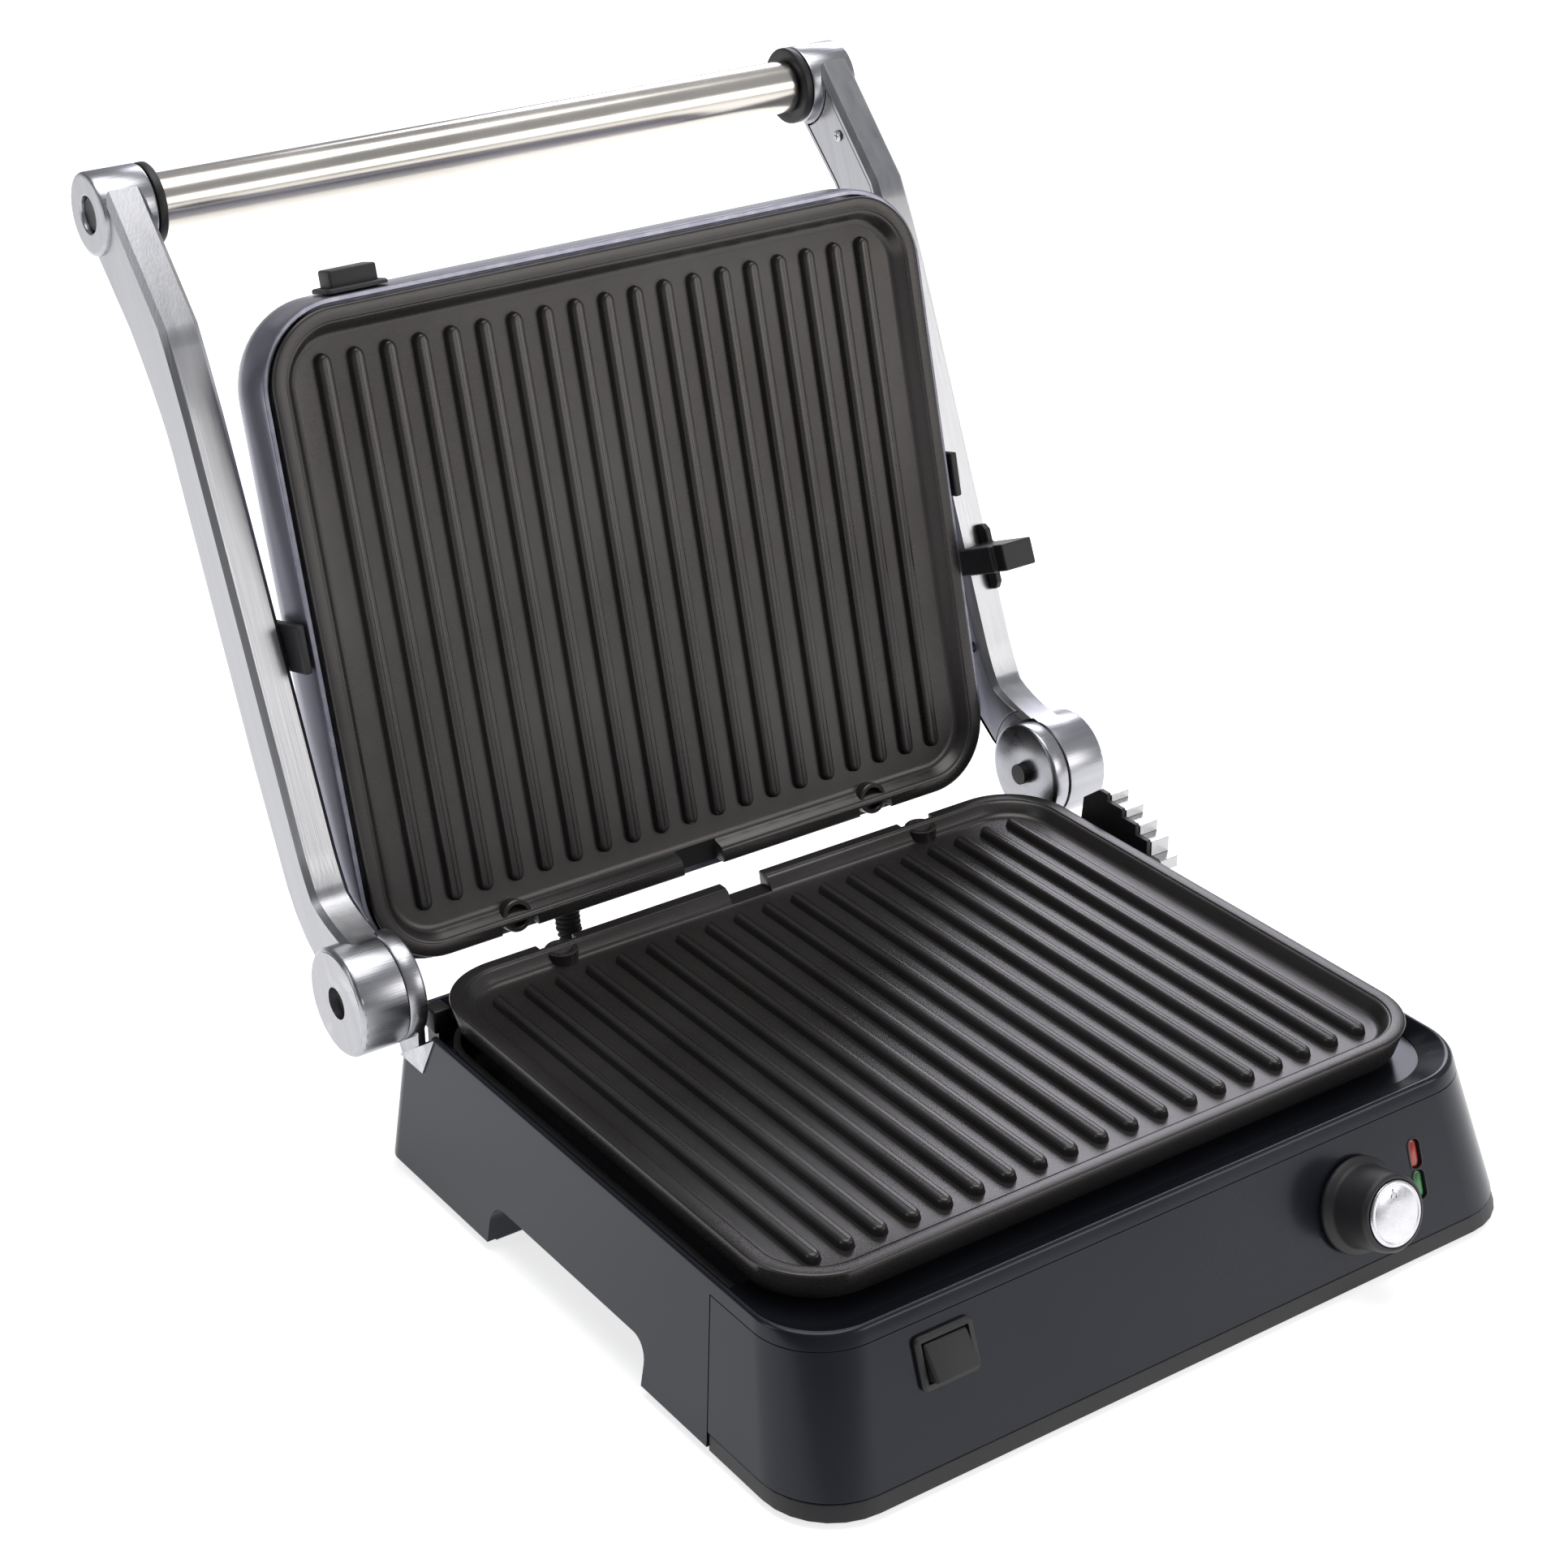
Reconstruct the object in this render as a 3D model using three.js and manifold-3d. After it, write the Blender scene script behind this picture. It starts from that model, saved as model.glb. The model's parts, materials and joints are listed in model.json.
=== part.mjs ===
// A contact grill (panini press), standing open. Millimetres, +Z up, -Y is the front where the knob is.
// The model is built round the lid's hinge axis and then moved, so that the origin is under its middle.
import * as THREE from "three";
import { mergeVertices } from "three/addons/utils/BufferGeometryUtils.js";
import Module from "manifold-3d";

const wasm = await Module();
wasm.setup();

// ---- driving dimensions ----
const GAP = 0.35; // between pieces that touch
const HINGE_BACK = 61.9; // how far the hinge axis is behind the middle of the object
const HINGE_HEIGHT = 78.9;

const base = {
  top: 67.6, bottom: 3, topHalf: 167.8, bottomHalf: 179,
  topFront: -289, bottomFront: -311.5, back: -1.5, frontRadius: 31, backRadius: 11,
};
const WALL = 2.8;
const SEAM_HEIGHT = 61.3; // between the cover's skirt and the front fascia
const TRIM_TOP = 9.4; // top of the dark trim at the foot of the fascia
const recess = { half: 159.7, front: -274.3, back: -9.5, radius: 31, lip: 60.4 };
const arch = { front: -201, back: -87, height: 22.3, round: 9 };
const FOOT_HEIGHT = 2.8;

const lowerPlate = { half: 158.5, depth: 267, back: -5.5, rim: 78.6 };
const upperPlate = { half: 161, depth: 277 };
const ribs = { count: 19, pitch: 15, width: 7.4, top: -2.8, floor: -6.4, fromBack: 20, fromFront: 18 };
const PLATE_HEIGHT = 12;

const lid = { lean: 14.2, edgeBack: 21.3, edgeHeight: 70.4, thickness: 46 };
const lidPivot = { along: 144.4, behind: -30, radius: 4 };

const arm = { inner: 170, outer: 187.5, straightLean: 22.8, frontFace: 17.5, rearFace: 43 };
const drum = { inner: 173.5, outer: 195, radius: 23.4 };
const grip = { back: 185, up: 285.5, radius: 12, tubeHalf: 160.5, bossRadius: 17.5, bossInner: 165.3, bossOuter: 189.5 };
const slider = { along: 100.6, length: 12.5, foot: -15, barFrom: -8, tab: 6 };

const knob = { x: 89.9, height: 34, flangeRadius: 19.6, bodyRadius: 16.6, capRadius: 13, reach: 22 };
const lamp = { x: 124, redHeight: 42.8, greenHeight: 30.6, half: 2.5, length: 11.6 };
const lowerButton = { x: -109, height: 47, half: 10, tall: 14.5 };
const upperButton = { x: -113.5, behind: -13, half: 11, deep: 11 };
const gland = { x: 70, height: 34, radius: 5.4 };
const conduit = { x: -60.5, radius: 5.9, exitHeight: 40 };

// ---- materials ----
const finish = (color, roughness, metalness) =>
  new THREE.MeshStandardMaterial({ color, roughness, metalness });
const paint = finish(0x5c5f72, 0.3, 0.6);
const nonStick = finish(0x3a3735, 0.45, 0.1);
const aluminium = finish(0xc9cbd2, 0.3, 1);
const chrome = finish(0xe6e2dc, 0.12, 1);
const steel = finish(0x9c9ea3, 0.4, 1);
const plastic = finish(0x1d1d21, 0.5, 0);
const rubber = finish(0x161616, 0.9, 0);
const redGlass = finish(0x8c2a24, 0.2, 0);
const greenGlass = finish(0x2c5c38, 0.2, 0);

// ---- solids ----
const degrees = (angle) => THREE.MathUtils.degToRad(angle);

function toSolid(geometry) {
  const bare = geometry.index ? geometry.toNonIndexed() : geometry.clone();
  bare.deleteAttribute("normal");
  bare.deleteAttribute("uv");
  const merged = mergeVertices(bare, 1e-4);
  return new wasm.Manifold(
    new wasm.Mesh({
      numProp: 3,
      vertProperties: merged.attributes.position.array,
      triVerts: new Uint32Array(merged.index.array),
    }),
  );
}

function toGeometry(solid) {
  const mesh = solid.getMesh();
  const geometry = new THREE.BufferGeometry();
  geometry.setAttribute("position", new THREE.BufferAttribute(mesh.vertProperties, 3));
  geometry.setIndex(new THREE.BufferAttribute(mesh.triVerts, 1));
  geometry.computeVertexNormals();
  return geometry;
}

const join = (...solids) => solids.reduce((whole, next) => whole.add(next));
const cut = (whole, ...tools) => tools.reduce((left, tool) => left.subtract(tool), whole);

function box(x0, x1, y0, y1, z0, z1) {
  const geometry = new THREE.BoxGeometry(x1 - x0, y1 - y0, z1 - z0);
  return toSolid(geometry.translate((x0 + x1) / 2, (y0 + y1) / 2, (z0 + z1) / 2));
}

// A round bar along X from x0 to x1.
function barX(radius, x0, x1, y, z, sides = 32) {
  const geometry = new THREE.CylinderGeometry(radius, radius, Math.abs(x1 - x0), sides);
  return toSolid(geometry.rotateZ(Math.PI / 2).translate((x0 + x1) / 2, y, z));
}

// A round bar along Z from z0 to z1.
function barZ(radius, z0, z1, x = 0, y = 0, sides = 32) {
  const geometry = new THREE.CylinderGeometry(radius, radius, z1 - z0, sides);
  return toSolid(geometry.rotateX(Math.PI / 2).translate(x, y, (z0 + z1) / 2));
}

// A profile of [radius, height] pairs turned round Z.
function turned(profile, sides = 24) {
  const points = profile.map(([radius, height]) => new THREE.Vector2(radius, height));
  return toSolid(new THREE.LatheGeometry(points, sides).rotateX(Math.PI / 2));
}

// A rectangle with round corners, anticlockwise, as a list of points.
function roundedOutline(half, front, back, frontRadius, backRadius, steps = 7) {
  const corners = [
    [half - frontRadius, front + frontRadius, frontRadius, -90],
    [half - backRadius, back - backRadius, backRadius, 0],
    [backRadius - half, back - backRadius, backRadius, 90],
    [frontRadius - half, front + frontRadius, frontRadius, 180],
  ];
  return corners.flatMap(([x, y, radius, start]) =>
    Array.from({ length: steps + 1 }, (_, step) => {
      const angle = degrees(start + (90 * step) / steps);
      return new THREE.Vector2(x + radius * Math.cos(angle), y + radius * Math.sin(angle));
    }),
  );
}

// A closed solid through level rings, each [height, outline], from the lowest to the highest.
function loft(rings) {
  const count = rings[0][1].length;
  const positions = rings.flatMap(([height, outline]) => outline.flatMap((p) => [p.x, p.y, height]));
  const index = [];
  for (let ring = 0; ring < rings.length - 1; ring++)
    for (let i = 0; i < count; i++) {
      const here = ring * count + i;
      const next = ring * count + ((i + 1) % count);
      index.push(here, next, next + count, here, next + count, here + count);
    }
  const lastRing = (rings.length - 1) * count;
  for (const [a, b, c] of THREE.ShapeUtils.triangulateShape(rings[0][1], [])) index.push(c, b, a);
  for (const [a, b, c] of THREE.ShapeUtils.triangulateShape(rings.at(-1)[1], []))
    index.push(lastRing + a, lastRing + b, lastRing + c);
  const geometry = new THREE.BufferGeometry();
  geometry.setAttribute("position", new THREE.Float32BufferAttribute(positions, 3));
  geometry.setIndex(index);
  return toSolid(geometry);
}

// A side profile in (y, z) pushed along X from x0 to x1.
const sideways = new THREE.Matrix4().makeBasis(
  new THREE.Vector3(0, 1, 0), new THREE.Vector3(0, 0, 1), new THREE.Vector3(1, 0, 0),
);
function acrossX(shape, x0, x1, bevel = 0, curveSegments = 8) {
  const geometry = new THREE.ExtrudeGeometry(shape, {
    depth: x1 - x0 - 2 * bevel,
    bevelEnabled: bevel > 0,
    bevelThickness: bevel,
    bevelSize: bevel,
    bevelOffset: -bevel,
    bevelSegments: 1,
    curveSegments,
  });
  return toSolid(geometry.applyMatrix4(sideways).translate(x0 + bevel, 0, 0));
}

const polygon = (points) => new THREE.Shape(points.map(([a, b]) => new THREE.Vector2(a, b)));

// A tube of the given radius along a smooth curve through the points.
function tube(points, radius, steps, sides = 8) {
  const curve = new THREE.CatmullRomCurve3(points.map((p) => new THREE.Vector3(...p)), false, "centripetal");
  const section = new THREE.Shape().absarc(0, 0, radius, 0, 2 * Math.PI);
  const geometry = new THREE.ExtrudeGeometry(section, {
    steps, bevelEnabled: false, extrudePath: curve, curveSegments: sides / 2,
  });
  return toSolid(geometry);
}

// ---- the tree of groups ----
const press = new THREE.Group();
const body = new THREE.Group();
body.position.y = HINGE_BACK;
press.add(body);
const hinge = new THREE.Group(); // on the hinge axis
hinge.position.z = HINGE_HEIGHT;
const lidFrame = new THREE.Group(); // y along the cooking face from its hinge end, z out of the face
lidFrame.position.set(0, lid.edgeBack, lid.edgeHeight);
lidFrame.rotation.x = degrees(90 - lid.lean);
body.add(hinge, lidFrame);

function add(group, name, solid, material) {
  const mesh = new THREE.Mesh(toGeometry(solid), material);
  mesh.name = name;
  group.add(mesh);
  return mesh;
}

// Both halves of the object share one hand: a right-hand solid and its mirror image.
function addPair(group, name, solid, material) {
  add(group, name + "_right", solid, material);
  add(group, name + "_left", solid.mirror([1, 0, 0]), material);
}

// ---- housing of the base ----
// The outline of the base at a height, moved inwards by inset: its walls lean out towards the foot.
function baseOutline(height, inset = 0) {
  const share = (height - base.bottom) / (base.top - base.bottom);
  const half = THREE.MathUtils.lerp(base.bottomHalf, base.topHalf, share);
  const front = THREE.MathUtils.lerp(base.bottomFront, base.topFront, share);
  return roundedOutline(
    half - inset, front + inset, base.back - inset,
    base.frontRadius - inset, Math.max(base.backRadius - inset, 3),
  );
}
const baseBlock = (bottom, top, inset = 0) =>
  loft([[bottom, baseOutline(bottom, inset)], [top, baseOutline(top, inset)]]);

// The hollow between the front and rear feet, under the middle of the base.
function archSolid(grow) {
  const { front, back, height, round } = arch;
  const shape = new THREE.Shape();
  shape.moveTo(front - grow, -5);
  shape.lineTo(back + grow, -5);
  shape.lineTo(back + grow, height + grow - round);
  shape.quadraticCurveTo(back + grow, height + grow, back + grow - round, height + grow);
  shape.lineTo(front - grow + round, height + grow);
  shape.quadraticCurveTo(front - grow, height + grow, front - grow, height + grow - round);
  return acrossX(shape, -200, 200, 0, 4);
}

// All that is in front of the seam down the side, below the given height.
const seamBack = (height) => -235 - 0.19 * (59 - height);
function inFrontOfSeam(top, gap) {
  return acrossX(
    polygon([[-400, -5], [seamBack(-5) - gap, -5], [seamBack(top) - gap, top], [-400, top]]), -200, 200,
  );
}

function makeBaseCover() {
  const mouth = roundedOutline(recess.half, recess.front, recess.back, recess.radius, 7);
  const funnel = loft([[40, mouth], [recess.lip, mouth], [base.top + 0.3, baseOutline(base.top + 0.3, 0.5)]]);
  const hingeRoom = [-1, 1].map((side) => barX(31.5, side * 155, side * 200, 0, HINGE_HEIGHT, 28));
  return cut(
    baseBlock(4.2, base.top), baseBlock(-5, recess.lip - WALL, WALL), funnel, archSolid(0),
    inFrontOfSeam(SEAM_HEIGHT + GAP, 0), ...hingeRoom,
    holeAlongY(gland.x, gland.height, gland.radius), holeAlongY(conduit.x, conduit.exitHeight, 4),
  );
}

// A hole through the rear wall.
function holeAlongY(x, height, radius) {
  return toSolid(new THREE.CylinderGeometry(radius, radius, 12, 20).translate(x, base.back, height));
}

function makeBaseTray() {
  const hollow = baseBlock(5.8, 40, 7.4).subtract(archSolid(2.6));
  return cut(baseBlock(3.1, 26, 4.6), archSolid(0.6), hollow);
}

// ---- front panel: its frame has y up the panel and z out of it ----
const panelLean = Math.atan2(base.topFront - base.bottomFront, base.top - base.bottom);
const panelFront = (height) =>
  base.bottomFront + (height - base.bottom) * Math.tan(panelLean);

function panelFrame(x, height) {
  const frame = new THREE.Group();
  frame.position.set(x, panelFront(height), height);
  frame.rotation.x = Math.PI / 2 - panelLean;
  body.add(frame);
  return frame;
}

// A solid made in a frame on the panel, moved to where the base is made.
function onPanel(solid, x, height) {
  return solid.rotate([90 - THREE.MathUtils.radToDeg(panelLean), 0, 0]).translate([x, panelFront(height), height]);
}

function roundedBox(halfX, halfY, z0, z1, radius, steps = 4) {
  const outline = roundedOutline(halfX, -halfY, halfY, radius, radius, steps);
  return loft([[z0, outline], [z1, outline]]);
}

const BUTTON_MARGIN = 3.2;
function makeFascia() {
  const shell = cut(baseBlock(TRIM_TOP + 0.7, SEAM_HEIGHT), baseBlock(0, 75, WALL));
  const wall = shell.intersect(inFrontOfSeam(80, 0.5));
  const lampSlot = roundedBox(lamp.half + 0.35, lamp.length / 2 + 0.35, -8, 8, lamp.half);
  return cut(
    wall,
    onPanel(barZ(5, -10, 10), knob.x, knob.height),
    onPanel(lampSlot, lamp.x, lamp.redHeight),
    onPanel(lampSlot, lamp.x, lamp.greenHeight),
    onPanel(roundedBox(lowerButton.half + 1, lowerButton.tall / 2 + 1, -10, 10, 1.5), lowerButton.x, lowerButton.height),
  );
}

function makeTrim() {
  return cut(baseBlock(base.bottom, TRIM_TOP, 0.6), baseBlock(-2, 20, 4.1)).intersect(inFrontOfSeam(30, 0.5));
}

// ---- cooking plate: y from its hinge end, z out of the cooking face, rim at z = 0 ----
function makePlate({ half, depth }) {
  const ring = (inset, radius = 31 - inset) =>
    roundedOutline(half - inset, inset, depth - inset, radius, radius, 7);
  const block = loft([[-PLATE_HEIGHT, ring(2.6)], [-3, ring(0.6)], [0, ring(0)]]);
  const pocket = loft([[ribs.floor, ring(9)], [0.2, ring(5)]]);
  const underside = loft([[-PLATE_HEIGHT - 1, ring(7)], [-9.6, ring(7)]]);
  const drain = box(-10.5, 10.5, -1, 10, ribs.floor, 1);
  const latchNotches = [-95, 95].map((x) => box(x - 9, x + 9, -1, 4, -PLATE_HEIGHT - 1, 1));
  const ribShape = new THREE.Shape();
  const end = ribs.width / 2;
  ribShape.absarc(0, depth - ribs.fromFront - end, end, 0, Math.PI);
  ribShape.absarc(0, ribs.fromBack + end, end, Math.PI, 2 * Math.PI);
  const ribGeometry = new THREE.ExtrudeGeometry(ribShape, {
    depth: ribs.top - ribs.floor + 1, bevelEnabled: false, curveSegments: 2,
  });
  const rib = toSolid(ribGeometry.translate(0, 0, ribs.floor - 1));
  let plate = cut(block, pocket, underside, drain, ...latchNotches);
  for (let i = 0; i < ribs.count; i++) {
    const x = (i - (ribs.count - 1) / 2) * ribs.pitch;
    plate = plate.add(rib.translate([x, 0, 0]));
  }
  return plate;
}

// A shallow tray that throws the heat back at the plate, its mouth at z = mouth.
function makeHeatShield(half, front, back, mouth) {
  const outer = roundedOutline(half, front, back, 26, 26, 5);
  const inner = roundedOutline(half - 1.2, front + 1.2, back - 1.2, 24.8, 24.8, 5);
  return loft([[mouth - 7, outer], [mouth, outer]]).subtract(loft([[mouth - 5.8, inner], [mouth + 1, inner]]));
}

// One heating rod bent into two long loops, its ends at the hinge end.
function makeElement(height) {
  const far = 230;
  const near = 55;
  const path = [[-120, 30], [-120, far - 30], [-95, far], [-70, far - 30], [-70, near + 30], [-45, near],
    [45, near], [70, near + 30], [70, far - 30], [95, far], [120, far - 30], [120, 30]];
  return tube(path.map(([x, y]) => [x, y, height]), 3.3, 32, 6);
}

// ---- knob, lamps and release buttons ----
function makeKnobBody() {
  return turned([[0, 1], [knob.flangeRadius, 1], [knob.flangeRadius, 3], [knob.bodyRadius + 0.6, 4.4],
    [knob.bodyRadius, 6], [knob.bodyRadius - 1, knob.reach - 2], [knob.capRadius + 1.2, knob.reach],
    [knob.capRadius + 0.4, knob.reach], [knob.capRadius + 0.4, knob.reach - 1.6], [0, knob.reach - 1.6]])
    .subtract(barZ(3.4, 0, 10, 0, 0, 16));
}
function makeKnobCap() {
  const disc = turned([[0, knob.reach - 1.2], [knob.capRadius, knob.reach - 1.2], [knob.capRadius, knob.reach + 0.2],
    [knob.capRadius - 0.8, knob.reach + 0.8], [0, knob.reach + 0.8]]);
  return disc.add(box(-1, 1, 4, 10.5, knob.reach, knob.reach + 1.2));
}
const coil = (radius, turns, z0, z1) =>
  tube(
    Array.from({ length: turns * 8 + 1 }, (_, i) => [
      radius * Math.cos((i * Math.PI) / 4), radius * Math.sin((i * Math.PI) / 4), z0 + ((z1 - z0) * i) / (turns * 8),
    ]),
    0.6, turns * 9, 4,
  );
function makeBezel(halfX, halfY, height) {
  const outer = roundedBox(halfX + BUTTON_MARGIN, halfY + BUTTON_MARGIN, GAP, GAP + height, 2.5);
  return outer.subtract(roundedBox(halfX + 0.5, halfY + 0.5, -5, 9, 1.4));
}

// ---- hinge ----
function makeHingeBracket() {
  const cup = barX(drum.radius - 0.2, 164.6, 173.1, 0, 0, 28).subtract(barX(20.4, 160, 167.4, 0, 0, 24));
  const leg = acrossX(polygon([[-11, 0], [-18, -18], [-18, -50], [-8, -50], [-8, -30], [10.5, -14], [10.5, 0]]), 160, 165.6);
  return join(cup, barX(11, 160, 170, 0, 0, 20), leg).subtract(barX(5.3, 150, 180, 0, 0, 16));
}

// The rear edge of an arm from the drum up to the handle, and its front edge back down, round the hinge.
function armShape(inset = 0) {
  const shape = new THREE.Shape();
  const lean = degrees(arm.straightLean);
  const at = (along, across) => [
    along * Math.sin(lean) + across * Math.cos(lean), along * Math.cos(lean) - across * Math.sin(lean),
  ];
  const front = arm.frontFace + inset;
  const rear = arm.rearFace - inset;
  shape.moveTo(8, -8 + inset);
  shape.quadraticCurveTo(42 - inset, 0, 56 - inset, 27);
  shape.lineTo(...at(100, rear));
  shape.lineTo(...at(230, rear));
  shape.quadraticCurveTo(...at(250, rear), 160 - inset * 0.7, 242 + inset * 0.7);
  shape.lineTo(197 - inset * 0.7, 278 + inset * 0.7);
  shape.lineTo(171 + inset * 0.7, 298 - inset * 0.7);
  shape.lineTo(127.5 + inset * 0.7, 252 - inset * 0.7);
  shape.quadraticCurveTo(...at(256, front), ...at(232, front));
  shape.lineTo(...at(66, front));
  shape.quadraticCurveTo(...at(51, front), 30 + inset * 0.4, 32 - inset * 0.4);
  shape.quadraticCurveTo(21 + inset * 0.4, 26 - inset * 0.4, 0, 23);
  return shape;
}

function makeArm() {
  const round = (y, z, radius, x0, x1, steps) =>
    acrossX(new THREE.Shape().absarc(y, z, radius, 0, 2 * Math.PI), x0, x1, 1.6, steps);
  const barrel = round(0, 0, drum.radius, drum.inner, drum.outer, 14);
  const boss = round(grip.back, grip.up, grip.bossRadius, grip.bossInner, grip.bossOuter, 9);
  const hingeSide = barX(drum.radius + 1, arm.inner - 5, drum.inner, 0, 0);
  const blade = acrossX(armShape(), arm.inner, arm.outer, 2.4, 5).subtract(hingeSide);
  const channel = acrossX(armShape(4), arm.inner - 5, arm.inner + 2.2, 0, 5);
  const channelEnd = join(barX(28, arm.inner - 6, arm.inner + 3, 0, 0), barX(19, arm.inner - 6, arm.inner + 3, grip.back, grip.up));
  return cut(
    join(barrel, boss, blade), channel.subtract(channelEnd),
    barX(5.3, arm.inner - 5, 191, 0, 0, 16), barX(7, 189, 199, 0, 0, 20),
    barX(3.4, grip.bossInner - 5, 190, grip.back, grip.up, 16), barX(8.6, 184, 195, grip.back, grip.up, 20),
    pivotHole(),
  );
}
const pivotAt = (() => {
  const along = new THREE.Vector2(Math.sin(degrees(lid.lean)), Math.cos(degrees(lid.lean)));
  const y = lid.edgeBack + lidPivot.along * along.x - lidPivot.behind * along.y;
  const z = lid.edgeHeight + lidPivot.along * along.y + lidPivot.behind * along.x;
  return { y, z: z - HINGE_HEIGHT };
})();
const pivotHole = () => barX(lidPivot.radius + 0.3, arm.inner - 8, 182, pivotAt.y, pivotAt.z, 16);

function makeArmCover() {
  const ends = join(
    barX(28.6, arm.inner - 6, arm.inner + 3, 0, 0), barX(19.7, arm.inner - 6, arm.inner + 3, grip.back, grip.up),
    pivotHole(),
  );
  return acrossX(armShape(4.5), arm.inner + 0.1, arm.inner + 1.9, 0, 5).subtract(ends);
}

function makeCollar() {
  const radius = grip.bossRadius;
  const end = grip.bossInner - GAP;
  const profile = [[3.5, grip.tubeHalf + 0.3], [12, grip.tubeHalf + 0.3], [radius - 0.6, grip.tubeHalf + 0.9],
    [radius, grip.tubeHalf + 1.5], [radius, end - 0.6], [radius - 0.6, end], [3.5, end], [3.5, grip.tubeHalf + 0.3]];
  const geometry = new THREE.LatheGeometry(profile.map(([r, x]) => new THREE.Vector2(r, x)), 28);
  return toSolid(geometry.rotateZ(-Math.PI / 2).translate(0, grip.back, grip.up));
}

// ---- height slider on the right arm, made with z up the arm and y across it ----
function makeSlider() {
  const low = slider.along - slider.length / 2;
  const high = slider.along + slider.length / 2;
  const block = box(arm.inner - 0.2, arm.outer - 0.4, slider.foot, arm.frontFace - GAP, low, high);
  const bar = box(arm.inner - 2.6, arm.inner - GAP, slider.barFrom, arm.rearFace - 0.5, low, high);
  const neck = box(arm.inner - 2.6, arm.inner + 1, slider.barFrom, arm.frontFace - GAP, low, high);
  const [from, to] = [arm.frontFace - GAP - slider.tab, arm.frontFace - GAP];
  const tab = acrossX(
    polygon([[to, low - 9.3], [to, high + 9.3], [from + 2.5, high + 9.3], [from, high + 6.5], [from, low - 6.5], [from + 2.5, low - 9.3]]),
    arm.outer - 6, arm.outer - 2.6,
  );
  return join(block, bar, neck, tab);
}

// ---- stepped rack beside the plate ----
const steps = [[-43, 86.6], [-53.2, 86.6], [-63.6, 83.2], [-73.4, 79.4], [-81.5, 74.6], [-88, 67.5]];
function rackShape(rise, rearTop) {
  const points = [[steps[0][0] + 8, 62], rearTop];
  for (let i = 0; i < steps.length - 1; i++) {
    const height = steps[i + 1][1] + rise;
    points.push([steps[i][0] - (i ? 0 : 6 - rise), height], [steps[i + 1][0], height]);
  }
  points.push([steps.at(-1)[0], 62]);
  return polygon(points);
}

// ---- housing of the lid, in its own frame ----
function lidOutline(grow, radius) {
  return roundedOutline(
    upperPlate.half + grow, -grow + 0.6, upperPlate.depth + grow, Math.max(radius, 5), Math.max(radius, 5), 7,
  );
}
function makeUpperShell() {
  const outer = loft([
    [-lid.thickness, lidOutline(-26, 22)], [-44.5, lidOutline(-13, 30)], [-40, lidOutline(-3, 36)],
    [-33, lidOutline(1.8, 36)], [-22, lidOutline(3.8, 36)], [-2.4, lidOutline(3.2, 35)],
  ]);
  const inner = loft([[-44.3, lidOutline(-28, 22)], [-42.8, lidOutline(-15, 30)], [-38.4, lidOutline(-5, 34.5)],
    [-32, lidOutline(-0.2, 34.5)], [-20, lidOutline(1.9, 34.5)], [0, lidOutline(0.9, 33)]]);
  const pivotHoles = barX(lidPivot.radius + 0.5, -190, 190, lidPivot.along, lidPivot.behind, 16);
  const hingeEnd = box(-200, 200, -20, 9, -PLATE_HEIGHT - 0.7, 5); // open under the plate's hinge end
  const { x, behind, half, deep } = upperButton;
  const buttonHole = box(x - half - 1, x + half + 1, 270, 300, behind - deep / 2 - 1, behind + deep / 2 + 1);
  return cut(outer, inner, pivotHoles, buttonHole, hingeEnd, conduitHole());
}
const conduitHole = () => box(conduit.x - 9, conduit.x + 9, -12, 6, -34, -12);

function makeUpperFrame() {
  const outer = roundedOutline(155.5, 8, 268, 26, 26, 5);
  const inner = roundedOutline(143, 20, 256, 16, 16, 5);
  return loft([[-20, outer], [-PLATE_HEIGHT - 0.8, outer]]).subtract(loft([[-21, inner], [-5, inner]]));
}

// ---- assembly: base ----
add(body, "base_tray", makeBaseTray(), plastic);
add(body, "base_cover", makeBaseCover(), paint);
add(body, "front_fascia", makeFascia(), paint);
add(body, "front_trim", makeTrim(), plastic);
for (const [place, x, y] of [
  ["front_left", -140, -286], ["front_right", 140, -286], ["rear_left", -135, -32], ["rear_right", 135, -32],
]) {
  const foot = add(body, "foot_" + place, turned([[0, 0], [8.4, 0], [9.4, 1], [9.4, FOOT_HEIGHT], [0, FOOT_HEIGHT]], 18), rubber);
  foot.position.set(x, y, 0);
}

const lowerFrame = new THREE.Group(); // y from the hinge end towards the front, z up
lowerFrame.position.set(0, lowerPlate.back, lowerPlate.rim);
lowerFrame.rotation.z = Math.PI;
body.add(lowerFrame);
add(lowerFrame, "lower_plate", makePlate(lowerPlate), nonStick);
add(lowerFrame, "lower_heating_element", makeElement(-18), steel);
add(lowerFrame, "lower_heat_shield", makeHeatShield(146, 14, 252, -22.5), steel);

const knobFrame = panelFrame(knob.x, knob.height);
add(knobFrame, "knob_body", makeKnobBody(), plastic);
add(knobFrame, "knob_cap", makeKnobCap(), aluminium);
add(knobFrame, "thermostat_shaft", barZ(3, -7.5, 9.6, 0, 0, 16), steel);
add(knobFrame, "thermostat", box(-17, 17, -11, 11, -26, -8), plastic);

for (const [name, height, glass] of [["red_lens", lamp.redHeight, redGlass], ["green_lens", lamp.greenHeight, greenGlass]])
  add(panelFrame(lamp.x, height), name, roundedBox(lamp.half, lamp.length / 2, -4, 0.9, lamp.half - 0.1), glass);
add(
  panelFrame(lamp.x, (lamp.redHeight + lamp.greenHeight) / 2), "lamp_block", box(-6, 6, -8, 14, -14, -4.4), plastic,
);

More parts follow.
